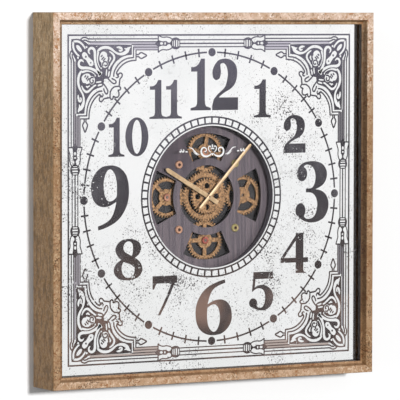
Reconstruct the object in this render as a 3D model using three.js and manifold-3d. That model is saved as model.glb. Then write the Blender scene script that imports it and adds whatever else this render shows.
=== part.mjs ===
// Square shadow-box wall clock with a silvered glass dial and a skeleton gear train
// that shows through a round window.
// Millimetres. The origin is the middle of the wall plane, +X right, +Z up, and the clock
// faces -Y: the wall is y = 0, the hands' axis is x = z = 0.

import * as THREE from "three";
import { mergeVertices } from "three/addons/utils/BufferGeometryUtils.js";
import Module from "manifold-3d";

const wasm = await Module();
wasm.setup();

// Case
const caseSide = 600;
const caseDepth = 70;
const railWidth = 12.6;
const railWall = 8;
const railChamfer = 0.8;
const railBevel = 2.9;
const ledgeWidth = 4;
const ledgeDepth = 7.6;
const mitreGap = 0.2;
const seat = 0.3;

// Dial
const glassThickness = 3;
const filmThickness = 0.5;
const windowRadius = 116;
const shroudOverhang = 2;
const shroudWall = 2.5;
const handGlassGap = 6;

// Back of the case
const moduleWallGap = 0.8;
const panelThickness = 3;
const battenHeight = 32;
const battenEndGap = 6.7;
const hangerInset = 50;
const hangerWallGap = 0.4;
const hangerWidth = 46;
const hangerHeight = 22;
const hangerThickness = 1.5;
const keyholeRadius = 5;
const keySlotRadius = 2.5;
const keySlotRise = 8;
const hangerPocketMargin = 1.5;
const hangerScrewRadius = 1.8;
const bracketLeg = 35;
const bracketDepth = 14;
const bracketThickness = 1.5;

// Skeleton plates
const backPlateThickness = 1.7;
const backPlateRadius = 113;
const frontPlateThickness = 2;
const frontPlateMargin = 3;
const plateHoleRadius = 51;
const plateWindowInner = 63;
const plateWindowOuter = 103;
const plateWindowHalfAngle = 25.4;
const pillarCircle = 74.8;
const pillarRadius = 5;
const pillarLength = 9.5;
const screwShankRadius = 2;
const screwHeadRadius = 6.8;
const screwHeadHeight = 2.4;
const screwDepth = 6;
const socketRadius = 1.9;
const socketDepth = 1.6;
const holeClearance = 0.3;

// Gear train
const gearModule = 1.6;
const centreTeeth = 50;
const satelliteTeeth = 40;
const pressureAngle = 20;
const backlash = 0.25;
const gearThickness = 3;
const gearStandoff = 2;
const centreRimInner = 31;
const centreHubRadius = 10;
const centreSpokes = 3;
const centreSpokeWidth = 6;
const centreSpokeAngle = 30;
const satelliteRimInner = 26;
const satelliteHubRadius = 13.5;
const satelliteSpokes = 4;
const satelliteSpokeWidth = 6.5;
const satelliteBossRadius = 8;
const satelliteBossRise = 0.6;
const arborRadius = 2.5;
const arborShoulderRadius = 4.5;
const arborTip = 2.6;
const runningClearance = 0.1;
const collarRadius = 6.2;
const collarHeight = 2.4;
const collarChamfer = 0.85;

// Cog in front of the centre wheel
const cogModule = 1.6;
const cogTeeth = 36;
const cogThickness = 2.5;
const cogProud = 0.5;
const cogHoles = 4;
const cogHoleRadius = 4.8;
const cogHoleCircle = 17.5;
const cogRivetRadius = 1.5;
const cogSleeveRadius = 8;
const cogSpigotRadius = 6;

// Hands
const minuteTipGap = 2.5;
const minuteTail = 25.6;
const minuteWidth = 5;
const minuteClockAngle = 42.9;
const hourReach = 92.4;
const hourTail = 20.7;
const hourWidth = 7;
const hourClockAngle = 300.5;
const handThickness = 1.2;
const handRidge = 0.5;
const handTipLength = 5;
const handTipWidth = 1.5;
const handGap = 2;

// Movement and gear motor
const moduleWall = 1.65;
const moduleFloor = 1.4;
const moduleSkin = 1.25;
const moduleCorner = 3;
const motorArborRise = 14;
const cellRadius = 7.25;
const cellLength = 50.5;
const cellTipRadius = 2.7;
const cellTipLength = 1.2;
const cellSink = 0.4;
const bayClearance = 0.35;
const contactThickness = 0.5;
const contactWidth = 8;
const contactHeight = 10;
const bushRadius = 4;
const bushNutRadius = 7;
const bushNutHeight = 1.5;
const centreCollarRadius = 6;
const centreCollarHeight = 1.5;
const pipeRadius = 2.6;
const minuteArborRadius = 1.5;
const knobRadius = 6;
const knobHeight = 2.6;
const knobTeeth = 12;
const knobToothDepth = 0.4;
const knobClearance = 1;

// Facets round a full circle
const fineFacets = 72;
const roundFacets = 40;
const plainFacets = 36;
const spokeFacets = 24;
const smallFacets = 16;
const cornerFacets = 12;
const tinyFacets = 8;

// How far a cutting shape runs past what it cuts
const overcut = 1;

// A housing fits round its cell and the two contacts
const bayLength = cellLength + 2 * (contactThickness + 2 * seat);
const bayRadius = cellRadius + bayClearance;
const moduleSide = bayLength + 2 * moduleWall;
const moduleDepth = cellSink + cellRadius + bayRadius + moduleSkin;
const cellDrop = moduleSide / 2 - moduleFloor - bayRadius;

// Depths, counted from the wall towards the front
const battenBack = -(hangerWallGap + hangerThickness + seat);
const moduleFront = -(moduleWallGap + moduleDepth);
const panelBack = moduleFront - seat;
const panelFront = panelBack - panelThickness;
const backPlateBack = panelFront - seat;
const backPlateFront = backPlateBack - backPlateThickness;
const gearBack = backPlateFront - gearStandoff;
const gearFront = gearBack - gearThickness;
const frontPlateBack = backPlateFront - pillarLength - 2 * seat;
const frontPlateFront = frontPlateBack - frontPlateThickness;
const cogBack = frontPlateFront - cogProud + cogThickness;
const cogFront = cogBack - cogThickness;
const collarFront = cogFront - seat - centreCollarHeight;
const hourHandBack = collarFront - handGap;
const minuteHandBack = hourHandBack - handThickness - handRidge - handGap;
const filmBack = minuteHandBack - handThickness - handRidge - handGlassGap;
const filmFront = filmBack - filmThickness;
const glassBack = filmFront - seat;
const glassFront = glassBack - glassThickness;
const lipBack = glassFront - seat;
const caseFront = -caseDepth;

// Half sizes in the plane of the dial
const caseHalf = caseSide / 2;
const wallHalf = caseHalf - railWall;
const paneHalf = wallHalf - seat;
const spacerThickness = railWidth - railWall - seat;
const shroudInner = windowRadius + shroudOverhang;
const shroudOuter = shroudInner + shroudWall;
const frontPlateRadius = shroudOuter + frontPlateMargin;
const gearCentres = gearModule * (centreTeeth + satelliteTeeth) / 2;
const minuteReach = shroudInner - minuteTipGap;
const battenLength = 2 * (paneHalf - bracketLeg - battenEndGap);

const radians = (degrees) => degrees * Math.PI / 180;

// Radius to the corners of a faceted hole whose flats clear a round piece of the given radius
const boreFor = (radius, clearance, facets = smallFacets) => (radius + clearance) / Math.cos(Math.PI / facets);
const polar = (radius, angle) => new THREE.Vector2(radius * Math.cos(angle), radius * Math.sin(angle));

// Materials
function finish(color, roughness, metalness) {
  return new THREE.MeshStandardMaterial({ color, roughness, metalness });
}

const copperLeaf = finish(0xc9a283, 0.42, 0.6);
const darkBoard = finish(0x4a423a, 0.8, 0);
const clearGlass = finish(0xe8eef0, 0.05, 0);
const agedMirror = finish(0xf2f2f0, 0.12, 0.9);
const blackPaint = finish(0x2b2a2d, 0.6, 0);
const brushedPlate = finish(0x837b88, 0.45, 0.8);
const gearBrass = finish(0xa5784b, 0.4, 0.85);
const screwBrass = finish(0xc79a63, 0.35, 0.9);
const collarCopper = finish(0xc98a72, 0.35, 0.9);
const collarRed = finish(0xb5484c, 0.35, 0.3);
const steel = finish(0x9a9b9e, 0.35, 0.9);
const giltHand = finish(0xdcb982, 0.38, 0.7);
const blackPlastic = finish(0x1c1c1e, 0.5, 0);
const cellWrap = finish(0x35618a, 0.4, 0.1);

// Turns a mesh right side out: the signed volume of its triangles tells which way they face
function faceOutwards(geometry) {
  const position = geometry.getAttribute("position");
  const index = geometry.getIndex();
  const corners = [new THREE.Vector3(), new THREE.Vector3(), new THREE.Vector3()];
  let volume = 0;
  for (let i = 0; i < index.count; i += 3) {
    corners.forEach((corner, k) => corner.fromBufferAttribute(position, index.getX(i + k)));
    volume += corners[0].dot(corners[1].cross(corners[2]));
  }
  if (volume < 0) {
    for (let i = 0; i < index.count; i += 3) {
      const second = index.getX(i + 1);
      index.setX(i + 1, index.getX(i + 2));
      index.setX(i + 2, second);
    }
  }
  return geometry;
}

// Leaves only positions, welds equal corners and drops triangles that have no area
function weld(geometry) {
  const bare = geometry.clone();
  for (const name of Object.keys(bare.attributes)) {
    if (name !== "position") {
      bare.deleteAttribute(name);
    }
  }
  const merged = mergeVertices(bare, 1e-4);
  const index = merged.getIndex();
  const kept = [];
  for (let i = 0; i < index.count; i += 3) {
    const [a, b, c] = [index.getX(i), index.getX(i + 1), index.getX(i + 2)];
    if (a !== b && b !== c && c !== a) {
      kept.push(a, b, c);
    }
  }
  merged.setIndex(kept);
  return faceOutwards(merged);
}

function solid(geometry) {
  const welded = weld(geometry);
  return new wasm.Manifold(new wasm.Mesh({
    numProp: 3,
    vertProperties: new Float32Array(welded.getAttribute("position").array),
    triVerts: new Uint32Array(welded.getIndex().array),
  }));
}

function fromSolid(body) {
  const mesh = body.getMesh();
  const geometry = new THREE.BufferGeometry();
  geometry.setAttribute("position", new THREE.BufferAttribute(new Float32Array(mesh.vertProperties), 3));
  geometry.setIndex(Array.from(mesh.triVerts));
  return geometry;
}

// A flat piece: an outline drawn as seen from the front, given its thickness towards the front
function plate(outline, thickness, back) {
  const geometry = new THREE.ExtrudeGeometry(outline, { depth: thickness, bevelEnabled: false });
  geometry.rotateX(Math.PI / 2);
  geometry.translate(0, back, 0);
  return weld(geometry);
}

// A round piece turned about the hands' direction: profile points are [radius, y]
function turned(profile, facets = smallFacets) {
  const points = profile.map(([radius, y]) => new THREE.Vector2(radius, y));
  return weld(new THREE.LatheGeometry(points, facets));
}

function rod(radius, back, front, facets = smallFacets) {
  return turned([[0, back], [radius, back], [radius, front], [0, front]], facets);
}

function tube(inner, outer, back, front, facets = smallFacets) {
  return turned([[inner, back], [outer, back], [outer, front], [inner, front], [inner, back]], facets);
}

// Points of an arc, both ends included, with as many facets as its share of a full circle
function arc(radius, from, to, facets = smallFacets, x = 0, z = 0) {
  const count = Math.max(1, Math.round(Math.abs(to - from) / (2 * Math.PI) * facets));
  const points = [];
  for (let i = 0; i <= count; i += 1) {
    const point = polar(radius, from + (to - from) * i / count);
    points.push(new THREE.Vector2(point.x + x, point.y + z));
  }
  return points;
}

function circlePoints(radius, facets = smallFacets, x = 0, z = 0) {
  return arc(radius, 0, 2 * Math.PI, facets, x, z).slice(0, -1);
}

function disc(radius, facets) {
  return new THREE.Shape(circlePoints(radius, facets));
}

function drill(outline, radius, x = 0, z = 0, facets = smallFacets) {
  outline.holes.push(new THREE.Path(circlePoints(radius, facets, x, z)));
}

function rectangle(width, height, corner = 0) {
  const [x, z] = [width / 2 - corner, height / 2 - corner];
  const quarter = Math.PI / 2;
  const corners = [[x, -z, -quarter], [x, z, 0], [-x, z, quarter], [-x, -z, 2 * quarter]];
  return new THREE.Shape(corners.flatMap(([cx, cz, from]) => (
    corner > 0 ? arc(corner, from, from + quarter, cornerFacets, cx, cz) : [new THREE.Vector2(cx, cz)]
  )));
}

// An opening between two circles, from one angle to another, drawn back by half a spoke on each side
function sector(inner, outer, from, to, facets, spokeWidth = 0) {
  const drawBack = (radius) => Math.asin(spokeWidth / 2 / radius);
  return new THREE.Path([
    ...arc(outer, from + drawBack(outer), to - drawBack(outer), facets),
    ...arc(inner, to - drawBack(inner), from + drawBack(inner), facets),
  ]);
}

// Involute teeth. At any radius a tooth's half angle is its half angle at the pitch circle
// plus the difference of the involute function there. The first tooth is centred on phase.
// A cog that meshes with nothing has full, straight flanks.
function gearOutline(teeth, module, phase, meshes) {
  const pitchRadius = module * teeth / 2;
  const baseRadius = pitchRadius * Math.cos(radians(pressureAngle));
  const rootRadius = pitchRadius - 1.25 * module;
  const tipRadius = pitchRadius + module;
  const involute = (radius) => {
    const angle = Math.acos(Math.min(1, baseRadius / radius));
    return Math.tan(angle) - angle;
  };
  const thinning = meshes ? backlash : 0;
  const pitchHalfAngle = (Math.PI * module / 2 - thinning) / (2 * pitchRadius);
  const halfAngle = (radius) => pitchHalfAngle + involute(pitchRadius) - involute(radius);
  const flank = meshes ? [rootRadius, pitchRadius, tipRadius] : [rootRadius, tipRadius];
  const points = [];
  for (let tooth = 0; tooth < teeth; tooth += 1) {
    const middle = phase + tooth * 2 * Math.PI / teeth;
    for (const radius of flank) {
      points.push(polar(radius, middle - halfAngle(radius)));
    }
    for (const radius of flank.toReversed()) {
      points.push(polar(radius, middle + halfAngle(radius)));
    }
  }
  return new THREE.Shape(points);
}

// Openings between spokes of even width
function addSpokes(outline, count, firstAngle, width, inner, outer) {
  const step = 2 * Math.PI / count;
  for (let k = 0; k < count; k += 1) {
    const from = radians(firstAngle) + k * step;
    outline.holes.push(sector(inner, outer, from, from + step, spokeFacets, width));
  }
}

// The angle of a satellite's first tooth, so that one of its gaps meets the centre wheel's
// tooth on the line of centres. The centre wheel's first tooth is at angle zero.
function satellitePhase(direction) {
  const centrePitch = 2 * Math.PI / centreTeeth;
  const satellitePitch = 2 * Math.PI / satelliteTeeth;
  const shift = direction / centrePitch - Math.round(direction / centrePitch);
  return direction + Math.PI + (shift + 0.5) * satellitePitch;
}

const clock = new THREE.Group();

function add(name, geometry, material, parent = clock) {
  const mesh = new THREE.Mesh(geometry, material.clone());
  mesh.name = name;
  parent.add(mesh);
  return mesh;
}

// One mitred rail: its section runs along X at the top of the case and ends on two 45 degree planes.
// Section points are [distance in from the outer side, y]. Behind the face a steep bevel leads to
// a narrow ledge, and behind the ledge the lip drops straight to the glass.
function railGeometry() {
  const bevelEnd = railWidth + railBevel;
  const section = [
    [0, 0],
    [0, caseFront + railChamfer],
    [railChamfer, caseFront],
    [railWidth - railChamfer, caseFront],
    [railWidth, caseFront + railChamfer],
    [bevelEnd, caseFront + ledgeDepth],
    [bevelEnd + ledgeWidth, caseFront + ledgeDepth],
    [bevelEnd + ledgeWidth, lipBack],
    [railWall, lipBack],
    [railWall, 0],
  ];
  const bar = new THREE.Shape(section.map(([inset, y]) => new THREE.Vector2(caseHalf - inset, y)));
  const geometry = new THREE.ExtrudeGeometry(bar, { depth: 2, bevelEnabled: false, steps: 1 });
  const position = geometry.getAttribute("position");
  for (let i = 0; i < position.count; i += 1) {
    const [height, y, end] = [position.getX(i), position.getY(i), position.getZ(i) - 1];
    position.setXYZ(i, end * (height - mitreGap), y, height);
  }
  return weld(geometry);
}

function buildCase() {
  const sides = ["top", "right", "bottom", "left"];
  const paneOutline = rectangle(2 * paneHalf, 2 * paneHalf);
  const spacerDepth = panelFront - seat - (filmBack + seat);
  const shortLength = 2 * (paneHalf - spacerThickness - seat);
  sides.forEach((side, quarter) => {
    const turn = quarter * Math.PI / 2;
    const rail = railGeometry();
    rail.rotateY(turn);
    add(`rail_${side}`, rail, copperLeaf);

    const length = quarter % 2 === 0 ? 2 * paneHalf : shortLength;
    const spacer = plate(rectangle(length, spacerThickness), spacerDepth, panelFront - seat);
    spacer.translate(0, 0, paneHalf - spacerThickness / 2);
    spacer.rotateY(turn);
    add(`glazing_spacer_${side}`, spacer, blackPaint);
  });

  add("dial_glass", plate(paneOutline, glassThickness, glassBack), clearGlass);

  const filmOutline = rectangle(2 * paneHalf, 2 * paneHalf);
  drill(filmOutline, windowRadius, 0, 0, fineFacets);
  add("mirror_film", plate(filmOutline, filmThickness, filmBack), agedMirror);

  const shroud = tube(shroudInner, shroudOuter, frontPlateFront - seat, filmBack + seat, roundFacets);
  add("window_shroud", shroud, blackPaint);
}

function buildBack() {
  const panel = rectangle(2 * paneHalf, 2 * paneHalf);
  drill(panel, boreFor(bushRadius, holeClearance));
  drill(panel, boreFor(arborRadius, holeClearance), 0, -gearCentres);
  add("back_panel", plate(panel, panelThickness, panelBack), darkBoard);

  const battenTop = paneHalf;
  const battenCentre = battenTop - battenHeight / 2;
  const batten = rectangle(battenLength, battenHeight);
  for (const side of [-1, 1]) {
    const place = side * (battenLength / 2 - hangerInset);
    const pocketRadius = keyholeRadius + hangerPocketMargin;
    batten.holes.push(new THREE.Path([
      ...arc(pocketRadius, 0, Math.PI, smallFacets, place, keySlotRise / 2),
      ...arc(pocketRadius, Math.PI, 2 * Math.PI, smallFacets, place, -keySlotRise / 2),
    ]));
  }
  const battenGeometry = plate(batten, battenBack - (panelBack + seat), battenBack);
  battenGeometry.translate(0, 0, battenCentre);
  add("hanging_batten", battenGeometry, darkBoard);

  for (const [name, side] of [["left", -1], ["right", 1]]) {
    const hanger = hangerGeometry();
    hanger.translate(side * (battenLength / 2 - hangerInset), 0, battenCentre);
    add(`hanger_plate_${name}`, hanger, steel);
  }

  for (const [vertical, up] of [["top", 1], ["bottom", -1]]) {
    for (const [horizontal, right] of [["left", -1], ["right", 1]]) {
      add(`corner_bracket_${vertical}_${horizontal}`, bracketGeometry(right, up), steel);
    }
  }
}

// Steel plate with a keyhole: a round hole for the screw head and a slot above it for the shank
function hangerGeometry() {
  const outline = rectangle(hangerWidth, hangerHeight);
  const slotFoot = Math.sqrt(keyholeRadius ** 2 - keySlotRadius ** 2);
  const slotAngle = Math.atan2(slotFoot, keySlotRadius);
  outline.holes.push(new THREE.Path([
    ...arc(keyholeRadius, Math.PI - slotAngle, 2 * Math.PI + slotAngle, smallFacets, 0, -keySlotRise / 2),
    ...arc(keySlotRadius, 0, Math.PI, smallFacets, 0, keySlotRise / 2),
  ]));
  const screwPlace = (hangerWidth - hangerHeight / 2) / 2;
  drill(outline, hangerScrewRadius, -screwPlace);
  drill(outline, hangerScrewRadius, screwPlace);
  return plate(outline, hangerThickness, -hangerWallGap);
}

// Angle bracket in a corner of the case, behind the back panel
function bracketGeometry(right, up) {
  const [outer, inner, end] = [paneHalf, paneHalf - bracketThickness, paneHalf - bracketLeg];
  const corners = [[outer, outer], [end, outer], [end, inner], [inner, inner], [inner, end], [outer, end]];
  const outline = new THREE.Shape(corners.map(([x, z]) => new THREE.Vector2(right * x, up * z)));
  return plate(outline, bracketDepth, panelBack + seat + bracketDepth);
}

function buildPlates() {
  const back = disc(backPlateRadius, plainFacets);
  drill(back, boreFor(bushRadius, holeClearance));
  drill(back, boreFor(arborRadius, holeClearance), 0, -gearCentres);
  add("back_plate", plate(back, backPlateThickness, backPlateBack), blackPaint);

  const front = disc(frontPlateRadius, plainFacets);
  drill(front, plateHoleRadius, 0, 0, fineFacets);
  const half = radians(plateWindowHalfAngle);
  for (let quarter = 0; quarter < 4; quarter += 1) {
    const middle = quarter * Math.PI / 2;
    front.holes.push(sector(plateWindowInner, plateWindowOuter, middle - half, middle + half, fineFacets));
    const place = polar(pillarCircle, middle + Math.PI / 4);
    drill(front, boreFor(screwShankRadius, holeClearance, tinyFacets), place.x, place.y, tinyFacets);
  }
  add("front_plate", plate(front, frontPlateThickness, frontPlateBack), brushedPlate);

  const names = ["top_right", "top_left", "bottom_left", "bottom_right"];
  names.forEach((name, quarter) => {
    const place = polar(pillarCircle, (quarter + 0.5) * Math.PI / 2);
    const station = new THREE.Group();
    station.position.set(place.x, 0, place.y);
    clock.add(station);
    add(`plate_pillar_${name}`, pillarGeometry(), screwBrass, station);
    add(`pillar_screw_${name}`, screwGeometry(), screwBrass, station);
  });
}

// Pillar between the plates, eight-sided, with a blind hole for its screw
function pillarGeometry() {
  const back = backPlateFront - seat;
  const front = frontPlateBack + seat;
  const bore = boreFor(screwShankRadius, holeClearance, tinyFacets);
  const holeEnd = frontPlateFront + screwDepth + holeClearance;
  return turned([[0, back], [pillarRadius, back], [pillarRadius, front], [bore, front], [bore, holeEnd],
    [0, holeEnd]], tinyFacets);
}

// Screw with a broad domed head and a socket in it
function screwGeometry() {
  const under = frontPlateFront - seat;
  const top = under - screwHeadHeight;
  return turned([
    [0, frontPlateFront + screwDepth],
    [screwShankRadius, frontPlateFront + screwDepth],
    [screwShankRadius, under],
    [screwHeadRadius, under],
    [screwHeadRadius, under - screwHeadHeight / 2],
    [screwHeadRadius - screwHeadHeight / 2, top],
    [socketRadius, top],
    [socketRadius, top + socketDepth],
    [0, top + socketDepth],
  ]);
}

function buildCentreWheel() {
  const bore = boreFor(bushRadius, runningClearance);
  const wheel = gearOutline(centreTeeth, gearModule, 0, true);
  addSpokes(wheel, centreSpokes, centreSpokeAngle, centreSpokeWidth, centreHubRadius, centreRimInner);
  drill(wheel, bore);
  const sleeve = turned([
    [bore, gearBack],
    [cogSleeveRadius, gearBack],
    [cogSleeveRadius, cogBack + seat],
    [cogSpigotRadius, cogBack + seat],
    [cogSpigotRadius, cogFront],
    [bore, cogFront],
    [bore, gearBack],
  ]);
  const joined = solid(plate(wheel, gearThickness, gearBack)).add(solid(sleeve));
  add("centre_wheel", fromSolid(joined), gearBrass);

  const cog = gearOutline(cogTeeth, cogModule, Math.PI / 2, false);
  drill(cog, boreFor(cogSpigotRadius, runningClearance));
  for (let k = 0; k < cogHoles; k += 1) {
    const angle = k * 2 * Math.PI / cogHoles;
    const hole = polar(cogHoleCircle, angle);
    const rivet = polar(cogHoleCircle, angle + Math.PI / cogHoles);
    drill(cog, cogHoleRadius, hole.x, hole.y);
    drill(cog, cogRivetRadius, rivet.x, rivet.y, tinyFacets);
  }
  add("centre_cog", plate(cog, cogThickness, cogBack), gearBrass);

  const collarBack = cogFront - seat;
  const collar = tube(bore, centreCollarRadius, collarBack, collarFront);
  add("centre_collar", collar, steel);
}

function satelliteGeometry(direction, spokeAngle) {
  const bore = boreFor(arborRadius, runningClearance);
  const gear = gearOutline(satelliteTeeth, gearModule, satellitePhase(direction), true);
  addSpokes(gear, satelliteSpokes, spokeAngle, satelliteSpokeWidth, satelliteHubRadius, satelliteRimInner);
  drill(gear, bore);
  const boss = tube(bore, satelliteBossRadius, gearBack + satelliteBossRise, gearFront - satelliteBossRise);
  return fromSolid(solid(plate(gear, gearThickness, gearBack)).add(solid(boss)));
}

// Arbor fixed in the back plate: a shoulder under the gear, a journal through it and a tip in front
function fixedArbor(tip) {
  const foot = backPlateFront - seat;
  const shoulder = gearBack + satelliteBossRise + seat;
  return turned([[0, foot], [arborShoulderRadius, foot], [arborShoulderRadius, shoulder],
    [arborRadius, shoulder], [arborRadius, tip], [0, tip]]);
}

function collarGeometry(back) {
  const front = back - collarHeight;
  const inner = boreFor(arborRadius, runningClearance);
  return turned([
    [inner, back],
    [collarRadius, back],
    [collarRadius, front + collarChamfer],
    [collarRadius - collarChamfer, front],
    [inner, front],
    [inner, back],
  ]);
}

function buildSatellites() {
  const collarBack = gearFront - satelliteBossRise - seat;
  const longTip = collarBack - collarHeight + runningClearance;
  const sunkTip = gearFront + arborTip;
  const stations = [
    { side: "right", angle: 0, spokeAngle: 60, collar: null, tip: sunkTip },
    { side: "top", angle: 90, spokeAngle: 80, collar: collarCopper, tip: longTip },
    { side: "left", angle: 180, spokeAngle: 45, collar: collarCopper, tip: longTip },
    { side: "bottom", angle: 270, spokeAngle: 0, collar: collarRed, tip: longTip },
  ];
  for (const { side, angle, spokeAngle, collar, tip } of stations) {
    const direction = radians(angle);
    const centre = polar(gearCentres, direction);
    const station = new THREE.Group();
    station.position.set(centre.x, 0, centre.y);
    clock.add(station);
    const geared = satelliteGeometry(direction, spokeAngle);
    const driven = side === "bottom";
    const arbor = driven ? rod(arborRadius, moduleFront + moduleDepth / 2, tip) : fixedArbor(tip);
    add(`satellite_gear_${side}`, geared, gearBrass, station);
    add(`gear_arbor_${side}`, arbor, steel, station);
    if (collar) {
      add(`arbor_collar_${side}`, collarGeometry(collarBack), collar, station);
    }
  }
}

// Black housing that holds one cell behind its arbor, open at the back over the cell.
// The arbor is at x = z = 0 and the housing's middle is set below it by drop.
function moduleGeometry(drop, boreRadius, boreBack) {
  const housing = plate(rectangle(moduleSide, moduleSide, moduleCorner), moduleDepth, -moduleWallGap);
  housing.translate(0, 0, -drop);
  const cellZ = -drop - cellDrop;
  const cellY = -(moduleWallGap + cellSink + cellRadius);
  const round = new THREE.CylinderGeometry(bayRadius, bayRadius, bayLength, smallFacets);
  round.rotateZ(Math.PI / 2);
  round.translate(0, cellY, cellZ);
  const mouth = new THREE.BoxGeometry(bayLength, 2 * bayRadius, 2 * bayRadius);
  mouth.translate(0, cellY + bayRadius, cellZ);
  const bore = rod(boreRadius, boreBack, moduleFront - overcut);
  return solid(housing).subtract(solid(round)).subtract(solid(mouth)).subtract(solid(bore));
}

// Dry cell lying along X, with its raised tip on the right
function cellGeometry() {
  const [end, body] = [cellLength / 2, cellLength / 2 - cellTipLength];
  const cell = turned([[0, -end], [cellRadius, -end], [cellRadius, body], [cellTipRadius, body],
    [cellTipRadius, end], [0, end]]);
  cell.rotateZ(-Math.PI / 2);
  return cell;
}

// Fits the cell and its two leaf contacts into the housing whose arbor is at x = z = 0
function addCell(prefix, drop, parent) {
  const place = new THREE.Vector3(0, -(moduleWallGap + cellSink + cellRadius), -drop - cellDrop);
  const cell = cellGeometry();
  cell.translate(place.x, place.y, place.z);
  add(`${prefix}_cell`, cell, cellWrap, parent);
  for (const [name, side] of [["minus", -1], ["plus", 1]]) {
    const leaf = new THREE.BoxGeometry(contactThickness, contactHeight, contactWidth);
    leaf.translate(side * (cellLength / 2 + seat + contactThickness / 2), place.y, place.z);
    add(`${prefix}_contact_${name}`, weld(leaf), steel, parent);
  }
}

function buildMovement() {
  const knobFront = -moduleWallGap - knobHeight;
  const knobRoom = knobRadius + knobClearance;
  const shaftRoom = boreFor(minuteArborRadius, holeClearance);
  const recess = rod(knobRoom, 0, knobFront - seat, plainFacets);
  const housing = moduleGeometry(0, shaftRoom, 0).subtract(solid(recess));
  add("movement_case", fromSolid(housing), blackPlastic);
  addCell("movement", 0, clock);

  const bushBack = moduleFront - seat;
  const pipeInner = boreFor(minuteArborRadius, runningClearance);
  const bushInner = boreFor(pipeRadius, runningClearance);
  const nutBack = backPlateFront - seat;
  const nut = disc(bushNutRadius, 6);
  drill(nut, boreFor(bushRadius, runningClearance));
  add("movement_bush", tube(bushInner, bushRadius, bushBack, collarFront), screwBrass);
  add("bush_nut", plate(nut, bushNutHeight, nutBack), screwBrass);
  add("hour_pipe", tube(pipeInner, pipeRadius, bushBack, hourHandBack - handThickness), screwBrass);

  add("minute_arbor", rod(minuteArborRadius, -moduleWallGap - seat, minuteHandBack - handThickness), steel);
  const knob = new THREE.Shape(circlePoints(knobRadius, 2 * knobTeeth).map((point, k) => (
    k % 2 === 0 ? point : point.multiplyScalar(1 - knobToothDepth / knobRadius)
  )));
  drill(knob, boreFor(minuteArborRadius, runningClearance));
  add("setting_knob", plate(knob, knobHeight - seat, -moduleWallGap - seat), blackPlastic);
}

function buildGearMotor() {
  const station = new THREE.Group();
  station.position.set(0, 0, -gearCentres);
  clock.add(station);
  const boreBack = moduleFront + moduleDepth / 2 + seat;
  const housing = moduleGeometry(motorArborRise, boreFor(arborRadius, holeClearance), boreBack);
  add("gear_motor_case", fromSolid(housing), blackPlastic, station);
  addCell("motor", motorArborRise, station);
}

// A straight hand with a low ridge along its middle and a cut tip, bored for its arbor
function handGeometry(reach, tail, width, clockAngle, back, boreRadius) {
  const half = width / 2;
  const front = back - handThickness;
  const section = new THREE.Shape([
    new THREE.Vector2(-half, back),
    new THREE.Vector2(-half, front),
    new THREE.Vector2(0, front - handRidge),
    new THREE.Vector2(half, front),
    new THREE.Vector2(half, back),
  ]);
  const bar = new THREE.ExtrudeGeometry(section, { depth: reach + tail, bevelEnabled: false });
  bar.translate(0, 0, -tail);
  const tipCut = new THREE.Shape([
    new THREE.Vector2(-half - overcut, -tail - overcut),
    new THREE.Vector2(half + overcut, -tail - overcut),
    new THREE.Vector2(half + overcut, reach - handTipLength - overcut),
    new THREE.Vector2(handTipWidth / 2, reach),
    new THREE.Vector2(-handTipWidth / 2, reach),
    new THREE.Vector2(-half - overcut, reach - handTipLength - overcut),
  ]);
  const outline = plate(tipCut, handThickness + handRidge + 2 * overcut, back + overcut);
  const bore = rod(boreRadius, back + overcut, front - handRidge - overcut);
  const hand = fromSolid(solid(bar).intersect(solid(outline)).subtract(solid(bore)));
  hand.rotateY(radians(clockAngle));
  return hand;
}

function buildHands() {
  const hourBore = boreFor(pipeRadius, runningClearance);
  const minuteBore = boreFor(minuteArborRadius, runningClearance);
  const hour = handGeometry(hourReach, hourTail, hourWidth, hourClockAngle, hourHandBack, hourBore);
  const minute = handGeometry(minuteReach, minuteTail, minuteWidth, minuteClockAngle, minuteHandBack,
    minuteBore);
  add("hour_hand", hour, giltHand);
  add("minute_hand", minute, giltHand);
}

buildCase();
buildBack();
buildPlates();
buildCentreWheel();
buildSatellites();
buildMovement();
buildGearMotor();
buildHands();

export default clock;
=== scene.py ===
# %% [markdown]
# # A square wall clock with an open gear train
#
# The clock is a deep copper leafed frame round one pane of glass. The back of the pane is silvered like
# an old mirror and printed with large figures and corner ornaments, and a round window in the silver
# shows a skeleton movement: a brushed plate, five meshing gears and two plain hands.
#
# The solid parts come from the CAD model, in metres: X to the right, Z up, and the wall is the plane
# Y = 0 with the clock on its minus Y side. This lesson gives them their finishes and adds the print.

import bmesh
import bpy
import numpy as np
from mathutils import Matrix, Vector


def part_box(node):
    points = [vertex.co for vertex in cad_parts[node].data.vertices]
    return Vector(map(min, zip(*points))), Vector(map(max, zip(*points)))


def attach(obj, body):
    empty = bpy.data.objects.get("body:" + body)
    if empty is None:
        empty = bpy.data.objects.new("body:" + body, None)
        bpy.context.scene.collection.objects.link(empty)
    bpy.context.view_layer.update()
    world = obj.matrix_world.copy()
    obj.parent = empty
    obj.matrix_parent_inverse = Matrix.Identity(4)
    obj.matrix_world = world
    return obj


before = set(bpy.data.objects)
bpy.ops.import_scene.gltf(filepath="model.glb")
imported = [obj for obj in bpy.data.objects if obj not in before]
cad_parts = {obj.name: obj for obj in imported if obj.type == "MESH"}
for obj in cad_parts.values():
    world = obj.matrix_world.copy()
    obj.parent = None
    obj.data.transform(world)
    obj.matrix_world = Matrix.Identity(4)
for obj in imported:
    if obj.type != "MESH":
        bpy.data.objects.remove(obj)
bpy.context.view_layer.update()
MM = 0.001


def new_piece(name, points, faces, material):
    """An object in the scene from points in metres and faces of one material."""
    mesh = bpy.data.meshes.new(name)
    mesh.from_pydata(points, [], faces)
    mesh.materials.append(material)
    piece = bpy.data.objects.new(name, mesh)
    bpy.context.scene.collection.objects.link(piece)
    return piece

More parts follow.
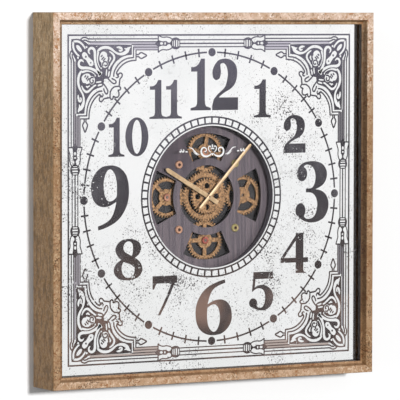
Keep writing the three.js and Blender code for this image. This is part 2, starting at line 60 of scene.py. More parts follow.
# %% [markdown]
# ## Camera
#
# The photograph was taken with a long lens from the left of the clock and a little above its middle, so
# the left outer side of the case shows and the right one doesn't. The edges of the case and about four
# hundred places on the dial fix the place, the turn and the lens of a camera without any shift.

# %% Camera
CAMERA_AZIMUTH = np.radians(29.796)
CAMERA_ELEVATION = np.radians(3.134)
CAMERA_ROLL = np.radians(0.08)
CAMERA_PLACE = Vector((-2.7788, -4.8656, 0.2992))
CAMERA_LENS = 307.47
SENSOR_WIDTH = 36.0


def make_camera():
    """A camera whose axes are worked out from its azimuth, elevation and roll: forward points at the
    clock, right is forward crossed with Z, up is right crossed with forward, and the roll turns both."""
    forward = Vector((
        np.sin(CAMERA_AZIMUTH) * np.cos(CAMERA_ELEVATION),
        np.cos(CAMERA_AZIMUTH) * np.cos(CAMERA_ELEVATION),
        -np.sin(CAMERA_ELEVATION),
    ))
    level_right = forward.cross(Vector((0, 0, 1))).normalized()
    level_up = level_right.cross(forward)
    right = np.cos(CAMERA_ROLL) * level_right + np.sin(CAMERA_ROLL) * level_up
    up = -np.sin(CAMERA_ROLL) * level_right + np.cos(CAMERA_ROLL) * level_up
    camera = bpy.data.objects.new("camera", bpy.data.cameras.new("camera"))
    camera.data.lens = CAMERA_LENS
    camera.data.sensor_width = SENSOR_WIDTH
    turned = Matrix((right, up, -forward)).transposed().to_4x4()
    camera.matrix_world = Matrix.Translation(CAMERA_PLACE) @ turned
    bpy.context.scene.collection.objects.link(camera)
    bpy.context.scene.camera = camera


make_camera()
print("camera to the middle of the clock:", round(CAMERA_PLACE.length, 3), "m")

# %% [markdown]
# ## A short way to write node trees
#
# Every finish below is a small tree of shader nodes. One helper adds a node, sets its values and links
# its inputs in a single statement, and another turns a plain screen colour (0 to 255) into the linear
# colour that the shader works with.

# %% Helpers for colours and nodes
def colour(red, green, blue):
    """A linear colour from a screen colour, by the two parts of the sRGB curve."""
    screen = np.array([red, green, blue]) / 255
    linear = np.where(screen <= 0.04045, screen / 12.92, ((screen + 0.055) / 1.055) ** 2.4)
    return (*linear.tolist(), 1.0)


def add(tree, kind, inputs=None, **settings):
    """A new node of this kind. Inputs are given by name or number, as a value or as a socket to link."""
    node = tree.nodes.new(kind)
    for name, value in settings.items():
        setattr(node, name, value)
    for name, value in (inputs or {}).items():
        if isinstance(value, bpy.types.NodeSocket):
            tree.links.new(value, node.inputs[name])
        else:
            node.inputs[name].default_value = value
    return node


def maths(tree, operation, first, second=0.0, third=0.0):
    """One arithmetic step on two or three numbers."""
    return add(tree, "ShaderNodeMath", {0: first, 1: second, 2: third}, operation=operation).outputs[0]


def map_range(tree, value, low, high, start=0.0, stop=1.0):
    """The value's place between low and high, eased at both ends, stretched from start to stop."""
    node = add(
        tree, "ShaderNodeMapRange",
        {"Value": value, "From Min": low, "From Max": high, "To Min": start, "To Max": stop},
        interpolation_type="SMOOTHSTEP",
    )
    return node.outputs["Result"]


print("copper in linear light:", [round(v, 3) for v in colour(186, 146, 106)])

# %% [markdown]
# ## Wall, floor and light
#
# The clock hangs on a white studio wall. One lamp, a little to the right and above, gives most of the
# light and the short soft shadow at the left and below the case. A wide pale one far to the left fills
# the side of the case. With the soft light of the room they give the front about the light at which a
# colour renders as it is written.

# %% Wall and floor
WALL_GAP = 1.5 * MM
HALF_WIDTH, TOP, FLOOR_HEIGHT, FLOOR_FRONT = 4, 3, -1.3, -6


def stage_finish(name, pale, glow):
    """A matt white that only camera rays see, from its front: other rays and the back pass through."""
    material = bpy.data.materials.new(name)
    material.use_nodes = True
    tree = material.node_tree
    tree.nodes.clear()
    path = add(tree, "ShaderNodeLightPath")
    behind = add(tree, "ShaderNodeNewGeometry").outputs["Backfacing"]
    seen = maths(tree, "SUBTRACT", path.outputs["Is Camera Ray"], behind)
    matt = add(tree, "ShaderNodeBsdfDiffuse", {"Color": pale})
    shine = add(tree, "ShaderNodeEmission", {"Color": pale, "Strength": glow})
    both = add(tree, "ShaderNodeAddShader", {0: matt.outputs[0], 1: shine.outputs[0]})
    clear = add(tree, "ShaderNodeBsdfTransparent")
    mixed = add(tree, "ShaderNodeMixShader", {0: seen, 1: clear.outputs[0], 2: both.outputs[0]})
    add(tree, "ShaderNodeOutputMaterial", {"Surface": mixed.outputs[0]})
    return material


def stage_plane(name, near_edge, far_edge, material):
    """A flat rectangle between two level edges, each given as (Y, Z). It faces the camera."""
    (near_y, near_z), (far_y, far_z) = near_edge, far_edge
    corners = [
        (-HALF_WIDTH, near_y, near_z), (HALF_WIDTH, near_y, near_z),
        (HALF_WIDTH, far_y, far_z), (-HALF_WIDTH, far_y, far_z),
    ]
    plane = new_piece(name, corners, [(0, 1, 2, 3)], material)


wall_foot = (WALL_GAP, FLOOR_HEIGHT)
wall_white = stage_finish("wall_white", colour(255, 255, 255), 0.04)
stage_plane("studio_wall", wall_foot, (WALL_GAP, TOP), wall_white)
floor_white = stage_finish("floor_white", colour(240, 240, 238), 0.2)
stage_plane("studio_floor", (FLOOR_FRONT, FLOOR_HEIGHT), wall_foot, floor_white)

# %% Lamps and world
LAMPS = {
    # name: (degrees to the right, degrees up, light on a surface that faces it, width in degrees)
    "key_lamp": (7.0, 9.5, 0.80, 6.0),
    "left_fill": (-82.0, 14.0, 0.36, 40.0),
}
AMBIENT = 0.18


def make_lamp(name, azimuth, elevation, light, width):
    """A distant lamp. A sun of strength S lights a facing surface by S, which renders as S / pi."""
    sun = bpy.data.lights.new(name, "SUN")
    sun.energy = light * np.pi
    sun.angle = np.radians(width)
    lamp = bpy.data.objects.new(name, sun)
    a, e = np.radians(azimuth), np.radians(elevation)
    towards = Vector((np.sin(a) * np.cos(e), -np.cos(a) * np.cos(e), np.sin(e)))
    lamp.rotation_mode = "QUATERNION"
    lamp.rotation_quaternion = towards.to_track_quat("Z", "Y")
    bpy.context.scene.collection.objects.link(lamp)


for lamp_name, values in LAMPS.items():
    make_lamp(lamp_name, *values)


def make_world():
    """Soft ambient light, and plain white for what the camera, mirrors and glass see of the room."""
    world = bpy.data.worlds.new("studio")
    world.use_nodes = True
    bpy.context.scene.world = world
    tree = world.node_tree
    path = add(tree, "ShaderNodeLightPath")
    direct = maths(tree, "MAXIMUM", path.outputs["Is Camera Ray"], path.outputs["Is Glossy Ray"])
    through = maths(tree, "MAXIMUM", direct, path.outputs["Is Transmission Ray"])
    no_matt_bounce = maths(tree, "LESS_THAN", path.outputs["Diffuse Depth"], 0.5)
    seen = maths(tree, "MULTIPLY", through, no_matt_bounce)
    background = tree.nodes["Background"]
    background.inputs["Color"].default_value = (1, 1, 1, 1)
    tree.links.new(maths(tree, "MULTIPLY_ADD", seen, 1 - AMBIENT, AMBIENT), background.inputs["Strength"])


make_world()
bpy.context.scene.view_settings.view_transform = "Standard"
front_light = AMBIENT + sum(
    light * np.cos(np.radians(a)) * np.cos(np.radians(e)) for a, e, light, _ in LAMPS.values()
)
print("light on the front:", round(front_light, 2), "of the level at which colours render as written")

# %% [markdown]
# ## Effects that several finishes share
#
# Old metal leaf, foxed silver and worn ink look different but are made of the same few effects: broad
# clouds of another tone, small specks that gather in patches, and fine straight grain. Each is a node
# group that is built once and placed in the finishes, in each with its own values.

# %% Node groups
def new_group(name, numbers, vectors=("Place",)):
    """An empty node group, its inputs, which are the vectors and then the numbers, and its output."""
    group = bpy.data.node_groups.new(name, "ShaderNodeTree")
    for labels, kind in ((vectors, "NodeSocketVector"), (numbers, "NodeSocketFloat")):
        for label in labels:
            group.interface.new_socket(label, in_out="INPUT", socket_type=kind)
    group.interface.new_socket("Result", in_out="OUTPUT", socket_type="NodeSocketFloat")
    given, result = group.nodes.new("NodeGroupInput"), group.nodes.new("NodeGroupOutput")
    return group, given.outputs, result.inputs[0]


def noise(tree, place, per_metre, detail, roughness=0.5, swirl=0.0):
    """Fractal noise, around 0.5. The swirl bends its patches into wisps."""
    return add(tree, "ShaderNodeTexNoise", {
        "Vector": place, "Scale": per_metre, "Detail": detail, "Roughness": roughness,
        "Distortion": swirl,
    }).outputs[0]


def make_cloud_group():
    """Soft patches: noise whose values from low to high are stretched to a mask from 0 to 1."""
    group, given, result = new_group("clouds", ["Per Metre", "Low", "High", "Swirl"])
    place, per_metre, swirl = (given[label] for label in ("Place", "Per Metre", "Swirl"))
    soft = noise(group, place, per_metre, detail=5.0, roughness=0.62, swirl=swirl)
    group.links.new(map_range(group, soft, given["Low"], given["High"]), result)
    return group


SPECK_EDGE = 0.035


def make_speck_group():
    """Specks in patches: fine noise is lifted where a coarse noise is high, and what is above a
    threshold is speck. A lower threshold gives more specks."""
    numbers = ["Per Metre", "Threshold", "Patches Per Metre", "Gathering", "Lift"]
    group, given, result = new_group("specks", numbers)
    fine = noise(group, given["Place"], given["Per Metre"], detail=3.0, roughness=0.7)
    coarse = noise(group, given["Place"], given["Patches Per Metre"], detail=2.0)
    patch_height = maths(group, "SUBTRACT", coarse, 0.5)
    gathered = maths(group, "MULTIPLY_ADD", patch_height, given["Gathering"], fine)
    lifted = maths(group, "ADD", gathered, given["Lift"])
    edge = maths(group, "ADD", given["Threshold"], SPECK_EDGE)
    group.links.new(map_range(group, lifted, given["Threshold"], edge), result)
    return group


def make_grain_group():
    """Straight grain: noise on coordinates that are squeezed along the grain, so that it stretches."""
    group, given, result = new_group("grain", ["Per Metre"], vectors=("Place", "Squeeze"))
    factors = {0: given["Place"], 1: given["Squeeze"]}
    squeezed = add(group, "ShaderNodeVectorMath", factors, operation="MULTIPLY").outputs[0]
    drawn_out = noise(group, squeezed, given["Per Metre"], detail=4.0, roughness=0.65)
    group.links.new(drawn_out, result)
    return group


CLOUDS, SPECKS, GRAIN = make_cloud_group(), make_speck_group(), make_grain_group()


# %% One way to write a finish
class Finish:
    """A material in the making: its node tree and shader, the object's own coordinates in metres, and
    the tone so far. A share is a mask or a number, and a tone is a screen colour or a socket. The sheen
    level scales the plain surface reflection, where 0.5 is a common polished plastic."""

    def __init__(self, name, metallic=0.0, roughness=0.5, sheen_level=0.3):
        self.material = bpy.data.materials.new(name)
        self.material.use_nodes = True
        self.tree = self.material.node_tree
        self.shader = self.tree.nodes["Principled BSDF"]
        self.shader.inputs["Metallic"].default_value = metallic
        self.shader.inputs["Roughness"].default_value = roughness
        self.shader.inputs["Specular IOR Level"].default_value = sheen_level
        self.place = add(self.tree, "ShaderNodeTexCoord").outputs["Object"]
        self.tone = None

    def axis(self, letter):
        """One of the coordinates: X to the right, Z up."""
        return add(self.tree, "ShaderNodeSeparateXYZ", {0: self.place}).outputs[letter]

    def away(self, across, up, folded=False):
        """How far a point is from a line square to the wall. Folded, all four quarters count as one."""
        place = self.place
        if folded:
            place = add(self.tree, "ShaderNodeVectorMath", {0: place}, operation="ABSOLUTE").outputs[0]
        factors = {0: place, 1: (1.0, 0.0, 1.0)}
        flat = add(self.tree, "ShaderNodeVectorMath", factors, operation="MULTIPLY").outputs[0]
        line = {0: flat, 1: (across, 0.0, up)}
        return add(self.tree, "ShaderNodeVectorMath", line, operation="DISTANCE").outputs["Value"]

    def maths(self, operation, *numbers):
        return maths(self.tree, operation, *numbers)

    def both(self, first, second):
        """Where both masks are: their product."""
        return maths(self.tree, "MULTIPLY", first, second)

    def span(self, value, low, high, start=0.0, stop=1.0):
        return map_range(self.tree, value, low, high, start, stop)

    def group(self, group, *values):
        """A copy of a node group on this finish's place, with its other inputs in their order."""
        inputs = dict(enumerate((self.place, *values)))
        return add(self.tree, "ShaderNodeGroup", inputs, node_tree=group).outputs[0]

    def clouds(self, per_metre, low=0.4, high=0.6, swirl=0.0):
        return self.group(CLOUDS, per_metre, low, high, swirl)

    def specks(self, per_metre, threshold, patches, gathering, lift=0.0):
        return self.group(SPECKS, per_metre, threshold, patches, gathering, lift)

    def grain(self, squeeze, per_metre):
        return self.group(GRAIN, squeeze, per_metre)

    def mixed(self, share, first, second, blend="MIX"):
        """A tone between two others, by the share."""
        first, second = (colour(*tone) if isinstance(tone, tuple) else tone for tone in (first, second))
        tones = {0: share, 6: first, 7: second}
        return add(self.tree, "ShaderNodeMix", tones, data_type="RGBA", blend_type=blend).outputs[2]

    def base(self, share, first, second):
        """The first tone of the finish, between two colours."""
        self.tone = self.mixed(share, first, second)

    def paint(self, share, tone):
        """Another tone over the one so far, where the share is 1."""
        self.tone = self.mixed(share, self.tone, tone)

    def glaze(self, share, tone):
        """A transparent tone, which multiplies the one so far."""
        self.tone = self.mixed(share, self.tone, tone, "MULTIPLY")

    def link(self, socket, name):
        """A socket into one input of the shader."""
        self.tree.links.new(socket, self.shader.inputs[name])

    def done(self, rough=None, roughness=None, relief=None, depth=0.0):
        """The material. Its roughness follows a mask from one value to another, and its small relief a
        height from 0 to 1, with its full depth in metres."""
        self.link(self.tone, "Base Color")
        if rough is not None:
            self.link(self.span(rough, 0.0, 1.0, *roughness), "Roughness")
        if relief is not None:
            bump = add(self.tree, "ShaderNodeBump", {"Height": relief, "Distance": depth})
            self.link(bump.outputs["Normal"], "Normal")
        return self.material


print("node groups:", [group.name for group in bpy.data.node_groups])

# %% [markdown]
# ## Frame: copper leaf
#
# The case is wood under imitation copper leaf: pale champagne metal, rubbed through here and there to
# rust and umber. A few masks of different size on the object's own coordinates give the same mottle on
# all four rails, with no seam. Shade is painted on as well: the faces of the upright rails and all below
# the top rail are darker, as if lit from above, the bevel and ledge beside the dial darker still, least
# on the bottom rail, and the lip behind the ledge nearly black, as a painted shadow gap round the dial.

# %% Copper leaf
FACE_EDGE = 287.9 * MM
LEDGE_EDGE = 280.9 * MM
OUTER_SIDE = 299.6 * MM


def make_copper_leaf():
    """The reach of a point is half the side of the square about the middle that it lies on."""
    leaf = Finish("copper_leaf_on_wood", metallic=0.2, roughness=0.46)
    height = leaf.axis("Z")
    across = leaf.maths("ABSOLUTE", leaf.axis("X"))
    up = leaf.maths("ABSOLUTE", height)
    reach = leaf.maths("MAXIMUM", across, up)
    outside = leaf.maths("GREATER_THAN", reach, OUTER_SIDE)

    # leaf in two tones, its bright ridges, rust where it is rubbed, and flaked spots
    leaf.base(leaf.clouds(45, 0.38, 0.62), (184, 154, 128), (208, 183, 165))
    leaf.paint(leaf.clouds(150, 0.52, 0.62, 1.2), (230, 212, 198))
    leaf.paint(leaf.clouds(130, 0.53, 0.64, 1.6), (160, 112, 70))
    leaf.paint(leaf.both(leaf.specks(340, 0.60, 25, 0.4), 0.9), (104, 78, 50))

    # the outer sides are yellower, with broad and fine upright streaks
    leaf.paint(leaf.both(outside, 0.45), (206, 178, 132))
    broad = leaf.span(leaf.grain((1.0, 1.0, 0.35), 110), 0.47, 0.6, 0.0, 0.7)
    leaf.paint(leaf.both(broad, outside), (136, 112, 76))
    fine = leaf.span(leaf.grain((1.0, 1.0, 0.25), 380), 0.52, 0.66, 0.0, 0.75)
    leaf.paint(leaf.both(fine, outside), (98, 78, 52))

    # painted shade: the faces of the upright rails and all below the top rail darker, as if lit from above;
    # the outer sides toned yellower, and darker towards the bottom
    upright = leaf.both(leaf.maths("GREATER_THAN", across, up), leaf.span(height, 0.30, 0.10))
    leaf.glaze(leaf.both(upright, leaf.maths("SUBTRACT", 1.0, outside)), (218, 209, 190))
    leaf.glaze(outside, (233, 226, 208))
    leaf.glaze(leaf.span(height, 0.27, 0.05), (227, 216, 198))
    leaf.glaze(leaf.both(leaf.span(height, 0.28, -0.28, 0.0, 0.6), outside), (214, 204, 194))

    # painted shade: the bevel and ledge darker, most on the upright rails and least on the bottom rail, and
    # the lip behind them nearly black, as a shadow gap
    inner = leaf.mixed(leaf.span(height, -0.16, -0.27), (156, 144, 124), (226, 214, 196))
    inner = leaf.mixed(leaf.span(height, 0.265, 0.285), inner, (200, 185, 156))
    leaf.glaze(leaf.maths("LESS_THAN", reach, FACE_EDGE), inner)
    leaf.glaze(leaf.maths("LESS_THAN", reach, LEDGE_EDGE), (78, 66, 52))
    rough = leaf.clouds(160, 0.35, 0.65)
    return leaf.done(rough, (0.38, 0.6), rough, 0.12 * MM)


# %% [markdown]
# ## Dial: old mirror
#
# Old silvering loses its metal in dark specks where damp crept in from behind. The mirror is a metal
# with very little roughness, and the specks are matt brown. They gather in patches: between one and
# three, round the four and the five, between seven and eight, left of the nine and along the bottom. The
# back of the film is covered with grey lacquer.

# %% Aged mirror
FOXED_PATCHES = [
    # (across, up, reach, extra height of the specks), in metres
    (0.14, 0.11, 0.14, 0.07),
    (0.15, -0.09, 0.11, 0.07),
    (-0.12, -0.14, 0.13, 0.07),
    (-0.03, -0.13, 0.09, 0.05),
    (-0.27, -0.14, 0.10, 0.08),
    (-0.155, -0.09, 0.06, 0.03),
    (0.10, -0.16, 0.09, 0.06),
    (-0.05, -0.285, 0.07, 0.07),
    (0.15, -0.285, 0.06, 0.06),
    (-0.26, 0.03, 0.12, 0.08),
]
PATCH_HEART = 0.02
LACQUER_FROM = -50.65 * MM


def foxing_lift(finish):
    """Extra speck height in a few soft round patches, full from the heart of each one inwards."""
    total = 0.0
    for across, up, reach, height in FOXED_PATCHES:
        rise = finish.span(finish.away(across, up), reach, PATCH_HEART, 0.0, height)
        total = finish.maths("ADD", rise, total)
    return total


def make_aged_mirror(name, threshold):
    """Silver with painted shade greying it lower down, haze and specks. A lower threshold gives more
    specks.
    """
    mirror = Finish(name, metallic=1.0, roughness=0.1)
    # painted shade: the silver greys towards the bottom
    mirror.base(mirror.span(mirror.axis("Z"), -0.29, 0.2), (232, 233, 233), (250, 250, 251))
    mirror.paint(mirror.clouds(9, 0.35, 0.7), (240, 241, 242))
    lift = foxing_lift(mirror)
    fox = mirror.specks(350, threshold, 24, 0.34, lift)
    haze = mirror.specks(130, threshold - 0.03, 9, 0.3, lift)
    mirror.paint(mirror.both(haze, 0.2), (176, 174, 174))
    mirror.paint(fox, (64, 58, 60))
    behind = mirror.maths("GREATER_THAN", mirror.axis("Y"), LACQUER_FROM)
    mirror.paint(behind, (58, 55, 58))
    matt = mirror.maths("MAXIMUM", fox, behind)
    mirror.link(mirror.maths("SUBTRACT", 1.0, matt), "Metallic")
    return mirror.done(matt, (0.08, 0.6))


# %% [markdown]
# ## Dial: ink
#
# The figures and ornaments are screened in a dark ink, and a painted reflection makes it slate violet
# at the top and turns it to a brown copper sheen lower down. Small chips in it let the silver shine
# through, as holes in Alpha.

# %% Inks
# painted reflection: where a copper sheen lies on the six, and the colour of the sheen low down
SIX_REFLECTION_PLACE = (-0.012, -0.18)
PAINTED_COPPER_REFLECTION = (140, 112, 100)


def make_ink():
    """Painted reflection: slate violet upper left, darker at the right and in the middle, brown low down.
    """
    ink = Finish("dial_ink", roughness=0.42, sheen_level=0.15)
    height = ink.axis("Z")
    # painted reflection: the ink's violet, dark, pale and brown tones stand for the room mirrored in it
    darker = ink.maths("MAXIMUM", ink.span(ink.axis("X"), -0.12, 0.15), ink.span(height, 0.12, 0.03))
    ink.base(darker, (84, 81, 92), (54, 51, 57))
    ink.paint(ink.span(height, 0.13, 0.27, 0.0, 0.75), (104, 101, 118))
    ink.paint(ink.span(height, 0.03, -0.13), (54, 46, 46))
    brown = ink.both(ink.clouds(17, 0.42, 0.66), ink.span(height, -0.06, -0.20, 0.0, 0.5))
    ink.paint(brown, PAINTED_COPPER_REFLECTION)
    ink.paint(ink.span(ink.away(*SIX_REFLECTION_PLACE), 0.05, 0.01, 0.0, 0.8), PAINTED_COPPER_REFLECTION)
    paler_reflection = ink.mixed(0.22, ink.tone, (190, 186, 196))
    ink.paint(ink.both(ink.clouds(11, 0.5, 0.7), 0.5), paler_reflection)
    chip = ink.specks(170, 0.705, 9, 0.3, foxing_lift(ink))
    ink.link(ink.maths("SUBTRACT", 1.0, chip), "Alpha")
    return ink.done(ink.clouds(220), (0.3, 0.5))


def make_wash():
    """A thin wash between the border lines: light at the top, darker at the left and right."""
    wash = Finish("thin_ink_wash", roughness=0.45, sheen_level=0.15)
    wash.base(wash.span(wash.axis("Z"), -0.2, 0.2), (178, 164, 158), (196, 192, 204))
    across = wash.axis("X")
    wash.paint(wash.span(across, -0.236, -0.244), (158, 153, 160))
    wash.paint(wash.span(across, 0.236, 0.244), (122, 119, 125))
    wash.paint(wash.specks(260, 0.68, 20, 0.4), (92, 88, 94))
    return wash.done()


# %% [markdown]
# ## Glass
#
# The pane is real glass with a thickness, coated so that it reflects little. It would stop the lamps'
# direct light, so it is plainly clear for shadow rays, and for light that has already bounced off
# something: the dial behind it is then lit once, as it is through a real pane.

# %% Clear glass
COATED_GLASS_IOR = 1.18


def make_clear_glass():
    pane = Finish("clear_glass_pane", roughness=0.0)
    pane.shader.inputs["Transmission Weight"].default_value = 1.0
    pane.shader.inputs["IOR"].default_value = COATED_GLASS_IOR
    pane.base(pane.clouds(14, 0.3, 0.8), (254, 254, 253), (255, 255, 255))
    path = add(pane.tree, "ShaderNodeLightPath").outputs
    bounces = pane.maths("ADD", path["Diffuse Depth"], path["Glossy Depth"])
    passes = pane.maths("MAXIMUM", path["Is Shadow Ray"], pane.maths("GREATER_THAN", bounces, 0.5))
    clear = add(pane.tree, "ShaderNodeBsdfTransparent").outputs[0]
    mixed = add(pane.tree, "ShaderNodeMixShader", {0: passes, 1: pane.shader.outputs[0], 2: clear})
    pane.tree.links.new(mixed.outputs[0], pane.tree.nodes["Material Output"].inputs["Surface"])
    return pane.done()


# %% [markdown]
# ## Movement: brushed plate, brass gears, screws and collars
#
# The front plate is brushed from top to bottom and dyed a violet grey. The gears are cut from brass sheet
# and have darkened unevenly, which a broad cloud and small specks show. The screw heads are brass, warm
# on the left and greener on the right, with painted shade on and round the socket.

# %% Metals of the movement
SCREW_PLACE = 52.9 * MM
SOCKET_SHADE_RADIUS = 3.0 * MM


def make_brushed_plate():
    """Fine lines over broad streaks, a little darker at the upper left, with a few stains."""
    plate = Finish("brushed_violet_plate", metallic=0.4, roughness=0.34)
    lines = plate.grain((1.0, 1.0, 0.03), 1300)
    plate.base(plate.span(plate.grain((1.0, 1.0, 0.02), 330), 0.36, 0.64), (88, 81, 88), (118, 107, 112))
    plate.paint(plate.span(lines, 0.35, 0.68, 0.0, 0.6), (70, 64, 72))
    plate.glaze(plate.span(plate.away(-0.05, 0.09), 0.09, 0.03), (206, 200, 206))
    plate.paint(plate.specks(240, 0.7, 20, 0.2), (96, 80, 76))
    return plate.done(lines, (0.24, 0.44), lines, 0.04 * MM)


def make_metal(name, dark, light, spot, metallic, roughness, per_metre=120):
    """A cast or cut metal: two tones in clouds, small darker spots, and a fine uneven skin."""
    metal = Finish(name, metallic, roughness)
    metal.base(metal.clouds(per_metre, 0.36, 0.64), dark, light)
    metal.paint(metal.specks(per_metre * 4, 0.68, per_metre / 3, 0.25), spot)
    skin = metal.clouds(per_metre * 6)
    return metal.done(skin, (roughness - 0.1, roughness + 0.12), skin, 0.03 * MM)


def make_screw_brass():
    brass = Finish("screw_head_brass", metallic=0.6, roughness=0.36)
    brass.base(brass.span(brass.axis("X"), -0.03, 0.03), (168, 126, 104), (140, 132, 86))
    brass.paint(brass.clouds(500, 0.5, 0.7), (200, 164, 132))
    # painted shade: a dark disc over the socket and a little round it
    off_axis = brass.away(SCREW_PLACE, SCREW_PLACE, folded=True)
    brass.paint(brass.span(off_axis, SOCKET_SHADE_RADIUS, 0.8 * SOCKET_SHADE_RADIUS), (66, 44, 36))
    turned = brass.grain((1.0, 0.3, 1.0), 1400)
    return brass.done(turned, (0.26, 0.46), turned, 0.03 * MM)


def make_gilt():
    gilt = Finish("pale_gilt_hands", metallic=0.15, roughness=0.5)
    gilt.base(gilt.clouds(70, 0.38, 0.62), (184, 154, 118), (212, 182, 142))
    gilt.paint(gilt.specks(420, 0.68, 40, 0.25), (138, 108, 74))
    brushed = gilt.grain((1.0, 1.0, 1.0), 900)
    return gilt.done(brushed, (0.3, 0.5), brushed, 0.02 * MM)


# %% [markdown]
# ## Hidden and plain parts
#
# The shroud and base plate are painted, the back is dark hardboard with short fibres, the hangers and
# brackets are galvanised steel with its crystal patches, and the two drives are moulded in black plastic.

# %% Plain finishes
def make_galvanised_steel():
    zinc = Finish("galvanised_steel", metallic=0.85, roughness=0.4)
    cells = add(zinc.tree, "ShaderNodeTexVoronoi", {"Vector": zinc.place, "Scale": 260.0}, feature="F1")
    crystal = add(zinc.tree, "ShaderNodeSeparateColor", {0: cells.outputs["Color"]}).outputs[0]
    zinc.base(crystal, (150, 152, 156), (188, 190, 194))
    return zinc.done(crystal, (0.3, 0.5), crystal, 0.02 * MM)


def make_hardboard():
    board = Finish("dark_hardboard", roughness=0.75)
    fibres = board.grain((1.0, 1.0, 0.25), 420)
    board.base(board.span(fibres, 0.35, 0.65), (58, 46, 38), (92, 74, 60))
    board.paint(board.specks(500, 0.66, 30, 0.2), (38, 30, 26))
    return board.done(relief=fibres, depth=0.08 * MM)


def make_matt_coat(name, dark, light, roughness, per_metre, depth):
    """Paint, plastic or foam: two near shades with a fine even relief, and a little dust."""
    coat = Finish(name, roughness=roughness)
    skin = coat.clouds(per_metre, 0.3, 0.7)
    coat.base(skin, dark, light)
    coat.paint(coat.both(coat.clouds(30, 0.55, 0.75), 0.2), (120, 114, 108))
    return coat.done(skin, (roughness - 0.1, roughness + 0.1), skin, depth)


def make_cell_wrap():
    """A plain battery sleeve: dark film with a copper coloured band towards the plus end."""
    sleeve = Finish("cell_sleeve", metallic=0.2, roughness=0.35)
    scuff = sleeve.clouds(300, 0.4, 0.7)
    sleeve.base(scuff, (34, 36, 40), (58, 60, 64))
    band = sleeve.maths("GREATER_THAN", sleeve.axis("X"), 9 * MM)
    sleeve.paint(band, sleeve.mixed(scuff, (176, 112, 62), (206, 142, 88)))
    return sleeve.done(scuff, (0.25, 0.45))


# %% Put the finishes on the CAD nodes
FINISHES = {
    "copper_leaf": make_copper_leaf(),
    "aged_mirror": make_aged_mirror("aged_mirror_dial", 0.655),
    "clear_glass": make_clear_glass(),
    "brushed_plate": make_brushed_plate(),
    "gear_brass": make_metal("gear_brass", (94, 68, 44), (174, 134, 94), (70, 50, 34), 0.35, 0.45, 320),
    "screw_brass": make_screw_brass(),
    "collar_copper": make_metal("copper_collar", (150, 100, 80), (186, 134, 110), (120, 66, 48), 0.3, 0.45),
    "collar_red": make_metal("red_collar", (136, 66, 58), (172, 94, 82), (110, 50, 44), 0.3, 0.45),
    "gilt_hand": make_gilt(),
    "steel": make_galvanised_steel(),
    "dark_board": make_hardboard(),
    "black_paint": make_matt_coat("satin_black_paint", (26, 24, 27), (44, 41, 45), 0.45, 260, 0.03 * MM),
    "black_plastic": make_matt_coat("moulded_black", (28, 28, 30), (46, 46, 49), 0.5, 900, 0.05 * MM),
    "black_spacer": make_matt_coat("black_foam", (24, 23, 23), (40, 38, 37), 0.85, 700, 0.15 * MM),
    "cell_wrap": make_cell_wrap(),
}
white_ink = make_matt_coat("white_screen_ink", (236, 236, 236), (250, 250, 250), 0.5, 400, 0.02 * MM)
PRINT_FINISHES = {
    # name: (material, the slot of the CAD model that it counts as)
    "ink": (make_ink(), "black_paint"),
    "silver": (make_aged_mirror("aged_mirror_print", 0.70), "aged_mirror"),
    "wash": (make_wash(), "aged_mirror"),
    "white": (white_ink, "aged_mirror"),
}

# some pieces look different in the clock from others that share their slot in the CAD model
BROWNED = ("gear_arbor", "centre_collar", "minute_arbor")
dark_steel = make_metal("browned_steel", (84, 72, 66), (112, 98, 90), (60, 50, 46), 0.4, 0.42, 500)
shroud_paint = make_matt_coat("shroud_grey", (84, 80, 88), (102, 97, 105), 0.5, 260, 0.03 * MM)
for name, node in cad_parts.items():
    for slot in node.material_slots:
        slot.material = FINISHES[slot.material.name]
    if name.startswith(BROWNED):
        node.material_slots[0].material = dark_steel
    elif name == "window_shroud":
        node.material_slots[0].material = shroud_paint
print("finishes on nodes:", len(FINISHES), "of the print:", len(PRINT_FINISHES))

# %% [markdown]
# ## Print: strokes as surfaces
#
# Everything printed on the dial is a thin sheet with a shape of its own, so it stays sharp at any
# distance. A pen stroke is a surface of two parameters: one runs along the line, the other from its left
# edge to its right edge. Each shape below is such a grid of points, in millimetres on the dial.

# %% Grids of points
STEPS_PER_SPAN = 6


def smooth_line(points, closed=False):
    """A Catmull-Rom curve: on each span from b to c, with neighbours a and d, the place is half of
    2b + (c - a)t + (2a - 5b + 4c - d)t^2 + (3b - 3c + d - a)t^3, for t from 0 to 1."""
    p = np.asarray(points, float)
    if closed:
        before, start, end, after = (np.roll(p, shift, axis=0) for shift in (1, 0, -1, -2))
    else:
        before = np.vstack([2 * p[:1] - p[1:2], p[:-2]])
        start, end = p[:-1], p[1:]
        after = np.vstack([p[2:], 2 * p[-1:] - p[-2:-1]])
    t = np.linspace(0, 1, STEPS_PER_SPAN, endpoint=False)[None, :, None]
    a, b, c, d = (q[:, None, :] for q in (before, start, end, after))
    curve = 2 * b + (c - a) * t + (2 * a - 5 * b + 4 * c - d) * t**2 + (3 * (b - c) + d - a) * t**3
    curve = 0.5 * curve.reshape(-1, 2)
    return np.vstack([curve, curve[:1] if closed else p[-1:]])


def between(edge_a, edge_b, closed=False):
    """The surface between two curves: (1 - v) times the first plus v times the second."""
    return np.stack([smooth_line(edge_a, closed=closed), smooth_line(edge_b, closed=closed)], axis=1)


def stroke(points, width):
    """A pen stroke: the curve, moved by plus and minus half its width along its own normal. The
    width is one number, or one for each point of the curve."""
    line = smooth_line(points)
    widths = np.broadcast_to(np.asarray(width, float), (len(points),))
    half = np.interp(np.linspace(0, len(points) - 1, len(line)), np.arange(len(points)), widths) / 2
    run = np.gradient(line, axis=0)
    run /= np.linalg.norm(run, axis=1, keepdims=True)
    offset = np.stack([-run[:, 1], run[:, 0]], axis=1) * half[:, None]
    return np.stack([line - offset, line + offset], axis=1)


def patch(x0, x1, z0, z1):
    """A rectangle with its sides along the axes."""
    x, z = np.meshgrid([x0, x1], [z0, z1], indexing="ij")
    return np.stack([x, z], axis=-1)


